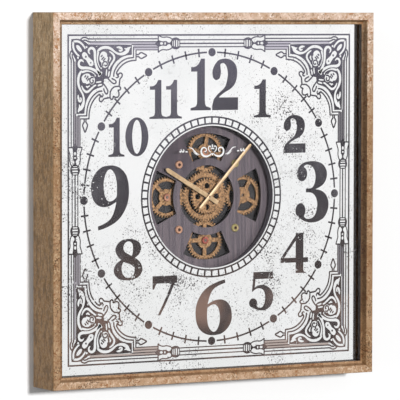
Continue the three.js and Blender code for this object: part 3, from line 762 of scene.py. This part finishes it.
def oval(x, z, half_x, half_z, turn=0.0, steps=6):
    """A disc without a pole: the square of u and v from -1 to 1 is pressed round by
    (u * sqrt(1 - v^2 / 2), v * sqrt(1 - u^2 / 2)), then stretched, turned and moved."""
    s = np.linspace(-1, 1, steps + 1)
    u, v = np.meshgrid(s, s, indexing="ij")
    a = half_x * u * np.sqrt(1 - v**2 / 2)
    b = half_z * v * np.sqrt(1 - u**2 / 2)
    cosine, sine = np.cos(np.radians(turn)), np.sin(np.radians(turn))
    return np.stack([x + a * cosine - b * sine, z + a * sine + b * cosine], axis=-1)


def sector(inner, outer, start, stop, steps):
    """Part of a ring, between two radii and two clock angles in degrees from 12 o'clock."""
    angle = np.radians(np.linspace(start, stop, steps + 1))[:, None]
    radius = np.array([inner, outer])[None, :]
    return np.stack([radius * np.sin(angle), radius * np.cos(angle)], axis=-1)


# %% From grids to one printed piece
# all in millimetres: heights are above the film, and fields lie under silver and lines on top of it
FILM_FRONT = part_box("mirror_film")[0].y / MM
LAYER_STEP = 0.004
LAYERS_IN_TURN = 8
INK_THICKNESS = 0.03
SAME_POINT = 0.001
FIELD_HEIGHT, SILVER_HEIGHT, LINE_HEIGHT = 0.05, 0.12, 0.19


def quads_of(grid, first):
    """Four corner numbers for each cell of a grid, turned where needed so that they run
    counter-clockwise in X and Z: then the face looks towards minus Y."""
    rows, columns = grid.shape[:2]
    number = first + np.arange(rows * columns).reshape(rows, columns)
    quads = [number[:-1, :-1], number[1:, :-1], number[1:, 1:], number[:-1, 1:]]
    quads = np.stack(quads, axis=-1).reshape(-1, 4)
    a, b, c, d = grid[:-1, :-1], grid[1:, :-1], grid[1:, 1:], grid[:-1, 1:]
    one, two = (c - a).reshape(-1, 2), (d - b).reshape(-1, 2)
    clockwise = one[:, 0] * two[:, 1] - one[:, 1] * two[:, 0] < 0
    quads[clockwise] = quads[clockwise, ::-1]
    return quads


def printed_piece(name, grids, height, finish):
    """One mesh of all grids, at a height above the film. Strokes that cross lie in layers a few
    thousandths of a millimetre apart, as wet ink does, so no two faces share a plane."""
    points, quads, count = [], [], 0
    for layer, grid in enumerate(grids):
        depth = FILM_FRONT - height - LAYER_STEP * (layer % LAYERS_IN_TURN)
        flat = grid.reshape(-1, 2)
        points.append(np.stack([flat[:, 0], np.full(len(flat), depth), flat[:, 1]], axis=-1) * MM)
        quads.append(quads_of(grid, count))
        count += len(flat)
    material, slot = PRINT_FINISHES[finish]
    piece = new_piece(name, np.vstack(points).tolist(), np.vstack(quads).tolist(), material)
    merged = bmesh.new()
    merged.from_mesh(piece.data)
    bmesh.ops.remove_doubles(merged, verts=merged.verts, dist=SAME_POINT * MM)
    merged.to_mesh(piece.data)
    merged.free()
    solid = piece.modifiers.new("ink_thickness", "SOLIDIFY")
    solid.thickness = INK_THICKNESS * MM
    solid.offset = -1
    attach(piece, "case")
    print(name, "grids:", len(grids), "faces:", len(piece.data.polygons))

# %% [markdown]
# ## Print: figures
#
# The figures are fat faced, with thick upright strokes, thin joins and ball ends. Each one is a few
# surfaces between an outer and an inner edge, in percent of the figure's own box, across from its left
# side and down from its top. The same figure then fills boxes of different width and height on the dial.

# %% Figures
RING_POINTS = 49


def ring(*half_sizes):
    """The surface between two ovals about the middle of the box, each given by its half sizes."""
    turn = np.linspace(0, 2 * np.pi, RING_POINTS)
    edges = [np.stack([50 + a * np.sin(turn), 50 - b * np.cos(turn)], axis=-1) for a, b in half_sizes]
    return np.stack(edges, axis=1)


FIGURES = {
    0: [ring((50, 50), (20.5, 43.5))],
    # a post with a flag at its top and a serif on each side of its foot
    1: [
        patch(35, 76, 12, 90),
        between(
            [(3, 16), (18, 16), (32, 14), (43, 10), (51, 4), (56, 0)],
            [(3, 25), (18, 25), (32, 25), (43, 25), (51, 25), (56, 25)],
        ),
        patch(55, 76, 0, 26),
        between([(0, 95.5), (14, 94), (28, 92), (35, 86)], [(0, 100), (14, 100), (28, 100), (36, 100)]),
        patch(34, 77, 84, 100),
        between(
            [(76, 86), (83, 92), (96, 94), (108, 95.5)],
            [(75, 100), (83, 100), (96, 100), (108, 100)],
        ),
    ],
    # the ball and hook at the left, the arch and neck, and the foot
    2: [
        between(
            [(12, 10), (3, 20), (1, 28), (4, 37), (14, 42)],
            [(30, 9), (32, 19), (33, 28), (28, 38), (16, 42)],
        ),
        between(
            [(11, 11), (24, 3.5), (42, 0.5), (62, 1), (80, 6), (91, 14), (95.5, 25), (94, 38),
             (86, 50), (70, 59), (50, 65), (34, 71), (22, 77)],
            [(30, 13), (34, 10), (43, 9), (51, 12), (57, 19), (60, 30), (58, 39), (55, 47), (50, 54),
             (41, 60), (28, 66), (18, 71), (8, 78)],
        ),
        between(
            [(0, 92), (4, 83), (10, 76.5), (26, 75.5), (60, 75.5), (99, 75.5)],
            [(0, 100), (6, 100), (14, 100), (28, 100), (60, 100), (99, 100)],
        ),
    ],
    # two ball ends, the upper bow, the short bar in the middle and the lower bow
    3: [
        oval(19, 20, 15.5, 12),
        oval(14.5, 80, 15, 12),
        between(
            [(6, 12), (13, 6), (25, 1.5), (42, -0.5), (62, 0), (80, 4), (91, 12), (94.5, 21), (91, 31),
             (82, 38.5), (70, 43), (58, 46)],
            [(24, 9), (28, 6), (34, 5), (42, 5.5), (51, 9), (57, 15), (60, 24), (59, 32), (55, 39),
             (49, 43), (41, 44), (32, 44)],
        ),
        patch(31, 60, 44, 50.5),
        between(
            [(56, 45.5), (72, 47), (87, 52), (96, 60), (99.5, 70), (96, 82), (86, 92), (70, 98),
             (50, 100), (32, 98.5), (16, 94), (4, 86), (0, 78)],
            [(36, 50.5), (46, 51), (55, 54), (62, 60), (65.5, 70), (63, 81), (57, 89), (48, 93),
             (39, 94), (32, 93.5), (27, 91), (22, 87), (18, 82)],
        ),
    ],
    # the post, the slanting arm, the bar and the end of the foot
    4: [
        patch(55, 83, 0, 100),
        between([(61, 0), (42, 19), (22, 40), (0, 62.5)], [(61, 13), (48, 26), (30, 44), (12, 62.5)]),
        patch(0, 100, 61.5, 73.5),
        between([(83, 92), (86, 97), (93, 98.5)], [(80, 100), (87, 100), (93, 100)]),
    ],
    # the flag, the thin arm below it, the ball end and the bowl
    5: [
        patch(18, 99, 1, 19),
        between([(18, 10), (16, 25), (14, 38), (12, 52)], [(27, 10), (26, 25), (24, 38), (20, 47)]),
        oval(17, 80, 16.5, 12),
        between(
            [(16, 46), (27, 39), (42, 35), (60, 34.5), (77, 39), (91, 47), (99, 58), (100, 69),
             (96, 81), (87, 91), (72, 98), (54, 100), (34, 98), (16, 92), (4, 84), (1, 79)],
            [(14, 51), (27, 45), (38, 43), (50, 44), (59, 48), (65, 56), (67, 65), (66, 76), (62, 85),
             (56, 91), (48, 93), (41, 92.5), (35, 90), (31, 86), (27, 82), (22, 78)],
        ),
    ],
    # the spine and the bowl
    6: [
        between(
            [(81, 0), (66, 2.5), (49, 7), (33, 13), (19, 22), (8, 34), (2, 46), (0, 58)],
            [(82, 6), (69, 9), (57, 13), (48, 18), (41, 26), (36, 36), (33, 46), (32, 58)],
        ),
        between(
            [(0, 58), (2, 73), (9, 86), (22, 95), (38, 99.5), (54, 100), (72, 97.5), (88, 89),
             (98, 77), (100, 64), (96, 50), (86, 40.5), (71, 36), (56, 36.5), (44, 39.5), (33, 44)],
            [(32, 58), (32, 70), (35, 82), (41, 90), (47, 93.5), (51, 94), (57, 92), (63, 85),
             (66.5, 76), (67, 66), (65, 56), (61, 49), (55, 45), (48, 44.5), (40, 46.5), (33, 51)],
        ),
    ],
    # the bar, its drop at the left and the leg
    7: [
        patch(2, 99, 0.5, 19.5),
        between([(2, 10), (2, 20), (2, 34.5)], [(22, 17), (14, 24), (8, 34)]),
        between(
            [(80, 12), (74, 25), (58, 50), (41, 75), (22, 100)],
            [(99, 6), (91, 18), (72, 46), (54, 72), (32, 100)],
        ),
    ],
    # the upper and the lower loop
    8: [
        between(
            [(50, 0), (28, 3), (12, 13), (6, 26), (12, 39), (26, 50), (44, 53), (62, 50), (80, 43),
             (92, 34), (96, 22), (90, 10), (72, 2)],
            [(50, 6), (41, 9), (35, 16), (34, 24), (39, 31), (46, 35), (54, 38), (61, 41), (65, 38),
             (67, 30), (67.5, 22), (66, 14), (60, 8)],
            closed=True,
        ),
        between(
            [(38, 46), (22, 52), (7, 61), (0, 74), (4, 86), (18, 96), (40, 100), (64, 99), (86, 93),
             (98, 82), (100, 70), (92, 57), (74, 46), (56, 42)],
            [(34, 56), (30, 61), (27.5, 68), (28, 76), (32, 85), (40, 92), (50, 94), (59, 93),
             (67, 89), (72, 82), (72.5, 75), (68, 67), (56, 61), (44, 58)],
            closed=True,
        ),
    ],
}
# a nine is a six that has made half a turn
FIGURES[9] = [100 - grid for grid in FIGURES[6]]

FIGURE_PLACES = [
    # (figure, left side, width, top, height), in millimetres from the middle of the dial
    (1, -40.0, 35.0, 225.2, 84.0), (2, 0.4, 49.2, 225.2, 84.0),
    (1, 79.2, 30.0, 190.5, 62.2),
    (2, 136.2, 43.0, 131.5, 62.7),
    (3, 160.0, 64.2, 53.8, 101.1),
    (4, 131.2, 53.0, -63.8, 66.6),
    (5, 70.8, 46.2, -125.4, 64.2),
    (6, -30.4, 68.5, -135.8, 90.4),
    (7, -111.2, 47.0, -125.4, 64.2),
    (8, -181.5, 52.3, -63.8, 66.6),
    (9, -222.7, 69.2, 55.0, 103.5),
    (1, -191.2, 27.0, 131.5, 62.7), (0, -160.4, 42.3, 131.5, 62.7),
    (1, -116.2, 28.9, 191.2, 62.7), (1, -86.2, 27.7, 191.2, 62.7),
]


def in_box(figure, left, width, top, height):
    """The grids of one figure, stretched from its own box to a box on the dial."""
    return [
        np.stack([left + grid[..., 0] / 100 * width, top - grid[..., 1] / 100 * height], axis=-1)
        for grid in FIGURES[figure]
    ]


# %% Minute track and chapter ring
# millimetres from the middle of the dial, or across the line
TRACK_RADIUS, TRACK_PEN, HOUR_DOT, MINUTE_MARK = 235.5, 2.8, 6.8, 7.0
CELL_EDGES = [(129.0, 131.7), (118.0, 120.6)]
CELL_BARS = (120.0, 130.0)
# degrees of the clock: the gap beside an hour dot, and half the width of a mark and of a bar
HOUR_GAP, HALF_MARK, HALF_BAR = 2.3, 0.35, 0.7
# straight steps in the arc of one hour, and in a round dot
TRACK_STEPS, RING_STEPS, DOT_STEPS = 16, 10, 9


def minute_track():
    """Twelve arcs with a dot between them, and a cross mark at each minute."""
    grids = []
    for hour in range(0, 360, 30):
        near, far = TRACK_RADIUS - TRACK_PEN / 2, TRACK_RADIUS + TRACK_PEN / 2
        grids.append(sector(near, far, hour + HOUR_GAP, hour + 30 - HOUR_GAP, TRACK_STEPS))
        x, z = TRACK_RADIUS * np.sin(np.radians(hour)), TRACK_RADIUS * np.cos(np.radians(hour))
        grids.append(oval(x, z, HOUR_DOT, HOUR_DOT, steps=DOT_STEPS))
    near, far = TRACK_RADIUS - MINUTE_MARK, TRACK_RADIUS + MINUTE_MARK
    grids += [sector(near, far, a - HALF_MARK, a + HALF_MARK, 1) for a in range(0, 360, 6) if a % 30]
    return grids


def chapter_ring():
    """Two thin rings round the window, with sixty bars between them."""
    grids = [
        sector(*edges, hour, hour + 30, RING_STEPS)
        for edges in CELL_EDGES for hour in range(0, 360, 30)
    ]
    return grids + [sector(*CELL_BARS, a - HALF_BAR, a + HALF_BAR, 1) for a in range(0, 360, 6)]


numerals = [grid for place in FIGURE_PLACES for grid in in_box(*place)]
printed_piece("dial_numerals", numerals, SILVER_HEIGHT, "ink")
printed_piece("minute_track", minute_track(), SILVER_HEIGHT, "ink")
printed_piece("chapter_ring", chapter_ring(), SILVER_HEIGHT, "ink")

# %% [markdown]
# ## Print: corner ornaments
#
# Each corner has a dark field with light scrolls on it, fine dark lines on those, and a crest that points
# to the middle. One arm is drawn along the top and turned down the side, a little longer there. Places
# are in millimetres, along the top and down from the corner of the outer line.

# %% Corner ornaments
HALF_FRAME = 265  # from the middle of the dial to the outer line, in millimetres
SIDE_STRETCH = 1.085  # how much longer the arm down the side is
SCROLL_PEN = 1.25  # a factor on the width of every scroll
LINE_PEN = 2.4  # the width of the dark lines, in millimetres
HALF_OVAL_POINTS = 13


def both_arms(grids):
    """The arm along the top, and the same arm down the side, where (u, v) becomes (v / s, u * s)."""
    turned = [np.stack([g[..., 1] / SIDE_STRETCH, g[..., 0] * SIDE_STRETCH], axis=-1) for g in grids]
    return grids + turned


def scroll(points, *widths):
    """A light scroll, with one width for each point. All widths grow with the scroll pen."""
    return stroke(points, SCROLL_PEN * np.asarray(widths))


def corner_field():
    """The dark ground of one arm, between its straight outer edge and the edge round the middle."""
    outer_edge = [
        (116.5, 17.2), (100, 16.7), (80, 16.5), (60, 16.5), (46, 16.3), (38, 16), (34, 13.5), (30, 11.2),
        (25, 8), (16, 7), (7, 7.6),
    ]
    inner_edge = [
        (116.5, 33), (106, 34.3), (97, 37.5), (89, 43), (83, 50), (80, 57), (78.5, 63), (77, 68),
        (74, 70.5), (70, 71), (66, 71.6),
    ]
    return both_arms([between(outer_edge, inner_edge)])


def half_oval(centre, half_length, half_width):
    """Half of an oval that lies on the diagonal (1, s): centre + (a cos t) along + (b sin t) across."""
    along = np.array([1, SIDE_STRETCH]) / np.hypot(1, SIDE_STRETCH)
    across = np.array([along[1], -along[0]])
    t = np.linspace(0, np.pi, HALF_OVAL_POINTS)[:, None]
    axis = np.array(centre) + half_length * np.cos(t) * along
    return np.stack([axis + half_width * np.sin(t) * across, axis], axis=1)


def leaf_stem():
    """Half of the stem on the diagonal: the ring at the corner, the bead beside it and the leaf."""
    axis = [(27.5, 29.8), (30, 32.6), (33, 35.8), (36.2, 39.3), (39.6, 43), (43, 46.7), (45.6, 49.5)]
    edge = [(27.5, 29.3), (30.5, 28.2), (35, 31), (37.6, 35.8), (42, 39.6), (46, 43), (46.8, 48.4)]
    ring = [(10.8, 11.7), (14, 11.1), (19, 11.4), (23.5, 13.3), (27.5, 16.8), (30.3, 20.3), (31.6, 23.2)]
    return [
        scroll(ring, 2.8, 2.8, 2.8, 2.6, 2.4, 2.2, 1.4),
        half_oval((20.7, 22.4), 6.9, 3.0),
        oval(34.2, 20.4, 1.7, 1.7),
        between(edge, axis),
    ]


def long_scrolls():
    """The two scrolls that run along the arm and towards the middle, with their small side shoots."""
    towards_middle = [
        (40.6, 31.6), (38.2, 28.4), (38.6, 24.4), (42.5, 21.9), (47, 23.4), (49.2, 28.5), (49.3, 36),
        (50, 44), (52, 51), (55, 57.5), (58, 63),
    ]
    along_arm = [
        (53.6, 27.6), (57, 24.4), (62, 21.8), (68, 20.9), (74, 21.5), (80, 24.2), (85.5, 28.2), (91, 31),
        (97.5, 31.7), (103.5, 30), (108.5, 26.5), (112.5, 21.4),
    ]
    hook = [(88.5, 20.8), (93, 21), (97.2, 22.6), (98, 25.4), (95.2, 26.6), (92.6, 25)]
    return [
        scroll(towards_middle, 1.0, 2.2, 3.0, 3.2, 3.6, 3.6, 3.2, 3.0, 3.2, 3.6, 3.8),
        scroll(along_arm, 2.0, 3.2, 3.6, 3.6, 3.4, 3.0, 2.4, 2.6, 3.4, 4.4, 4.6, 1.2),
        scroll(hook, 1.2, 3, 3, 2.6, 2.2, 1.4),
        scroll([(103, 22.8), (106.5, 23.8), (110, 22.8), (114.2, 20.6)], 1.0, 2.6, 3.4, 1.4),
        scroll([(55.4, 28), (54.2, 36), (55.4, 44), (58.2, 50.5), (61.5, 55)], 2.6, 2.6, 2.8, 2.8, 1.6),
    ]


def rose():
    """The round flower of an arm, with the curl beside it and the drops below it."""
    curl = [(75.5, 27.5), (80.5, 30.5), (84, 35), (84, 40), (80.5, 45.5), (76.5, 51), (74.5, 56)]
    return [
        oval(65, 37, 8, 9.6),
        oval(67.4, 47.4, 6.2, 6.0),
        scroll(curl, 1.4, 2.4, 2.8, 2.8, 2.6, 2.4, 1.6),
        scroll([(76.5, 36), (77.8, 39.5), (75.6, 43.5)], 1.6, 3.2, 1.6),
        scroll([(70.6, 56), (70.2, 61), (69.6, 66)], 1.4, 1.9, 1.4),
        scroll([(75.6, 59), (74.4, 63.5), (74, 67.5)], 1.6, 2.2, 1.6),
        oval(59.3, 62.8, 4.0, 2.2, -45),
    ]


def fine_lines(*lines):
    """Dark lines of one pen."""
    return [stroke(points, LINE_PEN) for points in lines]


def rose_lines():
    """Dark lines on the light shapes: the outline and curl of the rose, three cuts, and two seeds."""
    outline = [
        (60.6, 53), (57, 45.5), (56.4, 37), (58.6, 30), (63.2, 26.2), (68.6, 26.3), (72.2, 30), (72.8, 36),
    ]
    curl = [(63.8, 51), (63.4, 46.8), (66.6, 43.6), (71, 45), (71.4, 49), (68.2, 50.4), (66.8, 48.4)]
    cuts = [[(60.2, 36.2), (63.2, 33.2)], [(61.2, 40.6), (65.8, 36)], [(64.2, 42.4), (68.4, 38.2)]]
    beside = [(78.4, 35.6), (80.2, 38.8), (77.4, 44), (75, 50)]
    return fine_lines(outline, curl, beside, *cuts) + [oval(33, 36, 1.6, 1.6), oval(41.8, 45.3, 1.3, 1.3)]


def arcs_and_spear():
    """The two arcs round the middle, the steps that end them, and the spear at the end of the arm."""
    near_arc = [(119.6, 37.4), (109, 38.6), (100, 42.2), (92.6, 47.8), (87.2, 54.6), (84.2, 61), (83.4, 68)]
    far_arc = [(124.2, 41.8), (115, 42.6), (106, 45.2), (98.2, 50), (92.2, 56), (88.4, 61.6)]
    spear = [
        (124.6, 32.4), (128.6, 32.6), (131, 30.6), (134, 29.6), (137.6, 31), (143.4, 34.3), (137.6, 37.6),
        (134, 39), (131, 37.8), (128.6, 36), (124.6, 36.2),
    ]
    steps = [patch(118.6, 120.6, 20, 38.2), patch(123.1, 125.1, 25, 42.6)]
    return fine_lines(near_arc, far_arc, spear) + steps


def crest_and_curls():
    """The crest that points to the middle, and the two curls where the border lines start."""
    wing = [
        (64.6, 70.1), (67, 68.3), (71, 68.8), (75.5, 73), (80, 77), (84, 79), (87.3, 77.8), (87.4, 75),
        (84, 72.4), (79.5, 70.5),
    ]
    tip = [
        (80.3, 87.1), (84.5, 84.2), (89.5, 83.4), (93.7, 83.6), (96, 86.4), (94.6, 89), (91.6, 89.8),
        (92.8, 93.2), (93, 97), (92, 99.8),
    ]
    neck = [
        (93.4, 82.8), (94, 77), (95, 71.5), (98, 68.2), (99, 64.8), (97.2, 62.4), (94.2, 62.3),
        (91.6, 64.2), (88.6, 62.4),
    ]
    barb = [(87.6, 61.8), (90, 65), (92, 67.4), (89.6, 69.6), (87, 68.6)]
    outer_curl = [(42, 7.4), (37, 7.1), (33.4, 5.3), (29.6, 4.9), (26.4, 6), (24, 8)]
    inner_curl = [(42, 12.2), (37.4, 11.6), (33.6, 9.7), (28.6, 9.3)]
    return fine_lines(wing, tip, neck, outer_curl, inner_curl) + [stroke(barb, [1.4, 2.4, 2.6, 2.2, 1.2])]


def in_four_corners(grids):
    """The corner's grids on the dial, with the middle of the dial at nought, and their mirror images."""
    return [
        np.stack([side * (g[..., 0] - HALF_FRAME), end * (HALF_FRAME - g[..., 1])], axis=-1)
        for side in (1, -1) for end in (1, -1) for g in grids
    ]


light_shapes = both_arms(leaf_stem() + long_scrolls() + rose())
dark_lines = both_arms(rose_lines() + arcs_and_spear() + crest_and_curls())
printed_piece("corner_fields", in_four_corners(corner_field()), FIELD_HEIGHT, "ink")
printed_piece("corner_scrolls", in_four_corners(light_shapes), SILVER_HEIGHT, "silver")
printed_piece("corner_lines", in_four_corners(dark_lines), LINE_HEIGHT, "ink")

# %% [markdown]
# ## Print: border
#
# Between the corners run bundles of five lines with a thin wash between them. A banded knob with a tulip
# cap breaks them at each side of the middle, and three plain lines join the two knobs. One half of a
# side is drawn, mirrored, and laid along all four sides, a little narrower on the upright ones.

# %% Border
BUNDLE = [
    # (depth of a line, its width, its end on a level side, its end on an upright side), all in
    # millimetres, with the depth from the outer line and the ends from the corner
    (7.4, 2.1, 41.0, 44.0),
    (12.1, 2.0, 41.0, 44.0),
    (16.4, 1.8, 116.0, 126.0),
    (20.8, 1.6, 119.0, 129.0),
    (25.3, 1.6, 123.4, 134.0),
]
JOINING_LINES = [(9.2, 1.9), (15.1, 2.4), (20.6, 1.9)]
OUTER_LINE = 2.7
UPRIGHT = ("left", "right")
# the depths of the long and the short wash, and where they end, in millimetres from the corner, on a
# level and on an upright side
WASHES = [(12.1, 16.2), (16.6, 25.1)]
WASH_ENDS = [(40, 119), (43, 130)]
SIDES = {
    # name: (start of the knob from the middle, length of its cap, squeeze of the depths)
    "top": (59.5, 40.5, 1.0),
    "bottom": (59.5, 40.5, 1.0),
    "left": (40.5, 44.5, 0.9),
    "right": (40.5, 44.5, 0.9),
}


def knob_with_cap(cap):
    """The dark parts of a knob: its belly, the two petals, the cap's flat end, the calyx and the bud."""
    belly = [(0, 8.8), (4, 6.2), (8, 5.3), (12, 6), (16, 7.6)]
    petal = [(15, 8), (19, 5.8), (25, 4.6), (32, 5), (37, 3.4), (cap, 0.6)]
    calyx = [(15, 9), (19, 13.4), (23, 13), (25, 11.2), (29, 11), (33, 11.4), (cap - 2, 10), (cap, 8.5)]
    bud = [(cap, 10.5), (cap + 3, 11.5), (cap + 6, 15)]

    def mirrored(points):
        return [(along, 30 - depth) for along, depth in points]

    return [
        between(belly, mirrored(belly)),
        stroke(petal, 2.0),
        stroke(mirrored(petal), 2.0),
        patch(cap - 1.1, cap + 1.1, 0, 29.6),
        between(calyx, mirrored(calyx)),
        between(bud, mirrored(bud)),
    ]


def knob_bands():
    """The light bands round the belly and the two light eyes of the calyx."""
    return [
        patch(1.6, 3.4, 10.5, 19.5), patch(5.4, 7.8, 9.6, 20.4), patch(10.0, 11.8, 10.2, 19.8),
        patch(13.6, 14.6, 11, 19), oval(28, 15, 1.3, 2.0), oval(34.6, 15, 2.8, 2.0),
    ]


def line(start, stop, depth, width):
    """A straight line along the side, at a depth from the outer line."""
    return patch(start, stop, depth - width / 2, depth + width / 2)


def bundle_lines(side):
    """The lines from the cap to the corner, and the wash that lies under the four inner ones."""
    start, cap, _ = SIDES[side]
    upright = side in UPRIGHT
    lines = [
        line(cap, HALF_FRAME - (upright_end if upright else level_end) - start, depth, width)
        for depth, width, level_end, upright_end in BUNDLE
    ]
    wash = [
        patch(cap + 1, HALF_FRAME - end - start, *depths)
        for depths, end in zip(WASHES, WASH_ENDS[upright])
    ]
    return lines, wash


def on_side(grids, side):
    """Grids of (along from the knob, depth) on one side of the dial, with their mirror images."""
    start, _, squeeze = SIDES[side]
    placed_grids = []
    for grid in grids:
        for half in (1, -1):
            along = half * (start + grid[..., 0])
            out = HALF_FRAME - squeeze * grid[..., 1]
            if side in ("bottom", "left"):
                out = -out
            placed_grids.append(np.stack((out, along) if side in UPRIGHT else (along, out), axis=-1))
    return placed_grids


border_dark, border_light, border_wash = [], [], []
for side, (start, cap, squeeze) in SIDES.items():
    lines, wash = bundle_lines(side)
    joining = [line(-start, 1, depth, width) for depth, width in JOINING_LINES]
    outer = [patch(-start, HALF_FRAME - start, 0, OUTER_LINE / squeeze)]
    border_dark += on_side(knob_with_cap(cap) + lines + joining + outer, side)
    border_light += on_side(knob_bands(), side)
    border_wash += on_side(wash, side)
printed_piece("border_wash", border_wash, FIELD_HEIGHT, "wash")
printed_piece("border_lines", border_dark, SILVER_HEIGHT, "ink")
printed_piece("knob_bands", border_light, LINE_HEIGHT, "silver")

# %% [markdown]
# ## Print: flourish on the glass
#
# Above the middle of the window a small white flourish is screened on the clear glass itself: two
# scrolls with a crown between them, and on each side a double wave, a dash and two commas.

# %% Flourish
FLOURISH_PEN = 1.3  # a factor on the width of every stroke
FLOURISH_PLACE = (1.0, 75.6)  # millimetres to the right of the middle of the dial, and above it


def white_stroke(points, *widths):
    """A white stroke, with one width for each point."""
    return stroke(points, FLOURISH_PEN * np.asarray(widths))


def comma(across):
    """A drop with a bent tail, at this distance from the middle."""
    return white_stroke(
        [(across, 3.2), (across - 1, 0.4), (across + 0.8, -1.4), (across + 2, 0.4)], 0.8, 1.5, 2.0, 1.2,
    )


def flourish():
    """The right half, its mirror image, and the three marks in the middle."""
    scroll_line = [
        (1.5, -4.5), (6, -8), (12.5, -9.4), (18.5, -7), (21, -1.5), (19.5, 3.5), (15, 5), (11.5, 2.6),
        (12.2, -1), (15.2, -1.2),
    ]
    wave = [(24.5, -6.2), (29, -4.6), (33.5, -0.5), (38.5, 4.2), (44, 5.2)]
    half = [
        white_stroke(scroll_line, 0.8, 1.8, 2.4, 2.6, 2.4, 2.0, 1.6, 1.3, 1.2, 0.8),
        white_stroke([(3, -3), (6.5, 0.5), (7.5, 5), (4.5, 7.5), (2.6, 5)], 0.8, 1.4, 1.4, 1.2, 0.7),
        white_stroke(wave, 0.6, 1.4, 1.4, 1.2, 0.6),
        white_stroke([(27.5, -7.4), (32, -4.6), (36, -1)], 0.5, 1.1, 0.5),
        white_stroke([(46.5, -1.4), (50.5, -1.1)], 1.8, 1.6),
        comma(54.4),
        comma(59.2),
    ]
    mirrored = [np.stack([-g[..., 0], g[..., 1]], axis=-1) for g in half]
    arch = white_stroke([(-3.5, 2.2), (0, 3.6), (3.5, 2.2)], 0.8, 1.6, 0.8)
    crown = [oval(0, 7.6, 1.4, 2.5), oval(0, -6.2, 1.5, 1.9), arch]
    return [g + np.array(FLOURISH_PLACE) for g in half + mirrored + crown]


printed_piece("window_flourish", flourish(), SILVER_HEIGHT, "white")

# %% [markdown]
# ## Back: pins and screws
#
# The back panel is held by flat pins along three sides, and the batten covers the fourth. Two sunk
# screws hold each hanger. They are too small for the CAD model, so each head is a small turned dome.

# %% Fastener heads
HEAD_RINGS, HEAD_SEGMENTS = 4, 14
ALMOST_FLAT = 0.92  # the share of the quarter ellipse that a head follows, up to its flat top
# all in millimetres
PIN_REACH, PIN_INSET, PIN_RADIUS, PIN_RISE = 200, 6.0, 2.2, 0.7
SCREW_REACH, SCREW_RADIUS, SCREW_RISE, SCREW_LIFT = 17.5, 1.7, 0.8, 0.3


def domed_heads(name, places, radius, base, rise):
    """Heads at places (x, z), all in millimetres. Each is turned from the quarter ellipse
    (R cos t, h sin t), for t from 0 to nearly 90 degrees, and looks towards the wall."""
    t = np.linspace(0, ALMOST_FLAT, HEAD_RINGS)[:, None] * np.pi / 2
    turn = np.linspace(0, 2 * np.pi, HEAD_SEGMENTS, endpoint=False)
    out = radius * np.cos(t)
    height = np.broadcast_to(base + rise * np.sin(t), (HEAD_RINGS, HEAD_SEGMENTS))
    head = np.stack([out * np.cos(turn), height, out * np.sin(turn)], axis=-1)
    centres = np.array([(x, 0, z) for x, z in places])[:, None, None, :]
    number = np.arange(len(places) * head[..., 0].size).reshape(len(places), HEAD_RINGS, HEAD_SEGMENTS)
    lower, upper = number[:, :-1], number[:, 1:]
    ahead_lower, ahead_upper = np.roll(lower, -1, axis=2), np.roll(upper, -1, axis=2)
    quads = np.stack([lower, upper, ahead_upper, ahead_lower], axis=-1).reshape(-1, 4)
    faces = quads.tolist() + number[:, 0].tolist() + number[:, -1, ::-1].tolist()
    points = ((centres + head).reshape(-1, 3) * MM).tolist()
    piece = new_piece(name, points, faces, FINISHES["steel"])
    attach(piece, "case")
    print(name, "heads:", len(places))


panel_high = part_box("back_panel")[1]
pin_line = panel_high.x / MM - PIN_INSET
pin_places = [
    place
    for along in np.linspace(-PIN_REACH, PIN_REACH, 6)
    for place in ((along, -pin_line), (-pin_line, along), (pin_line, along))
]
domed_heads("panel_pins", pin_places, PIN_RADIUS, panel_high.y / MM, PIN_RISE)
hanger_places = []
for side in ("left", "right"):
    hanger_low, hanger_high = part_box(f"hanger_plate_{side}")
    middle = (hanger_low + hanger_high) / 2 / MM
    hanger_places += [(middle.x + reach, middle.z) for reach in (-SCREW_REACH, SCREW_REACH)]
screw_foot = hanger_low.y / MM + SCREW_LIFT
domed_heads("hanger_screws", hanger_places, SCREW_RADIUS, screw_foot, SCREW_RISE)
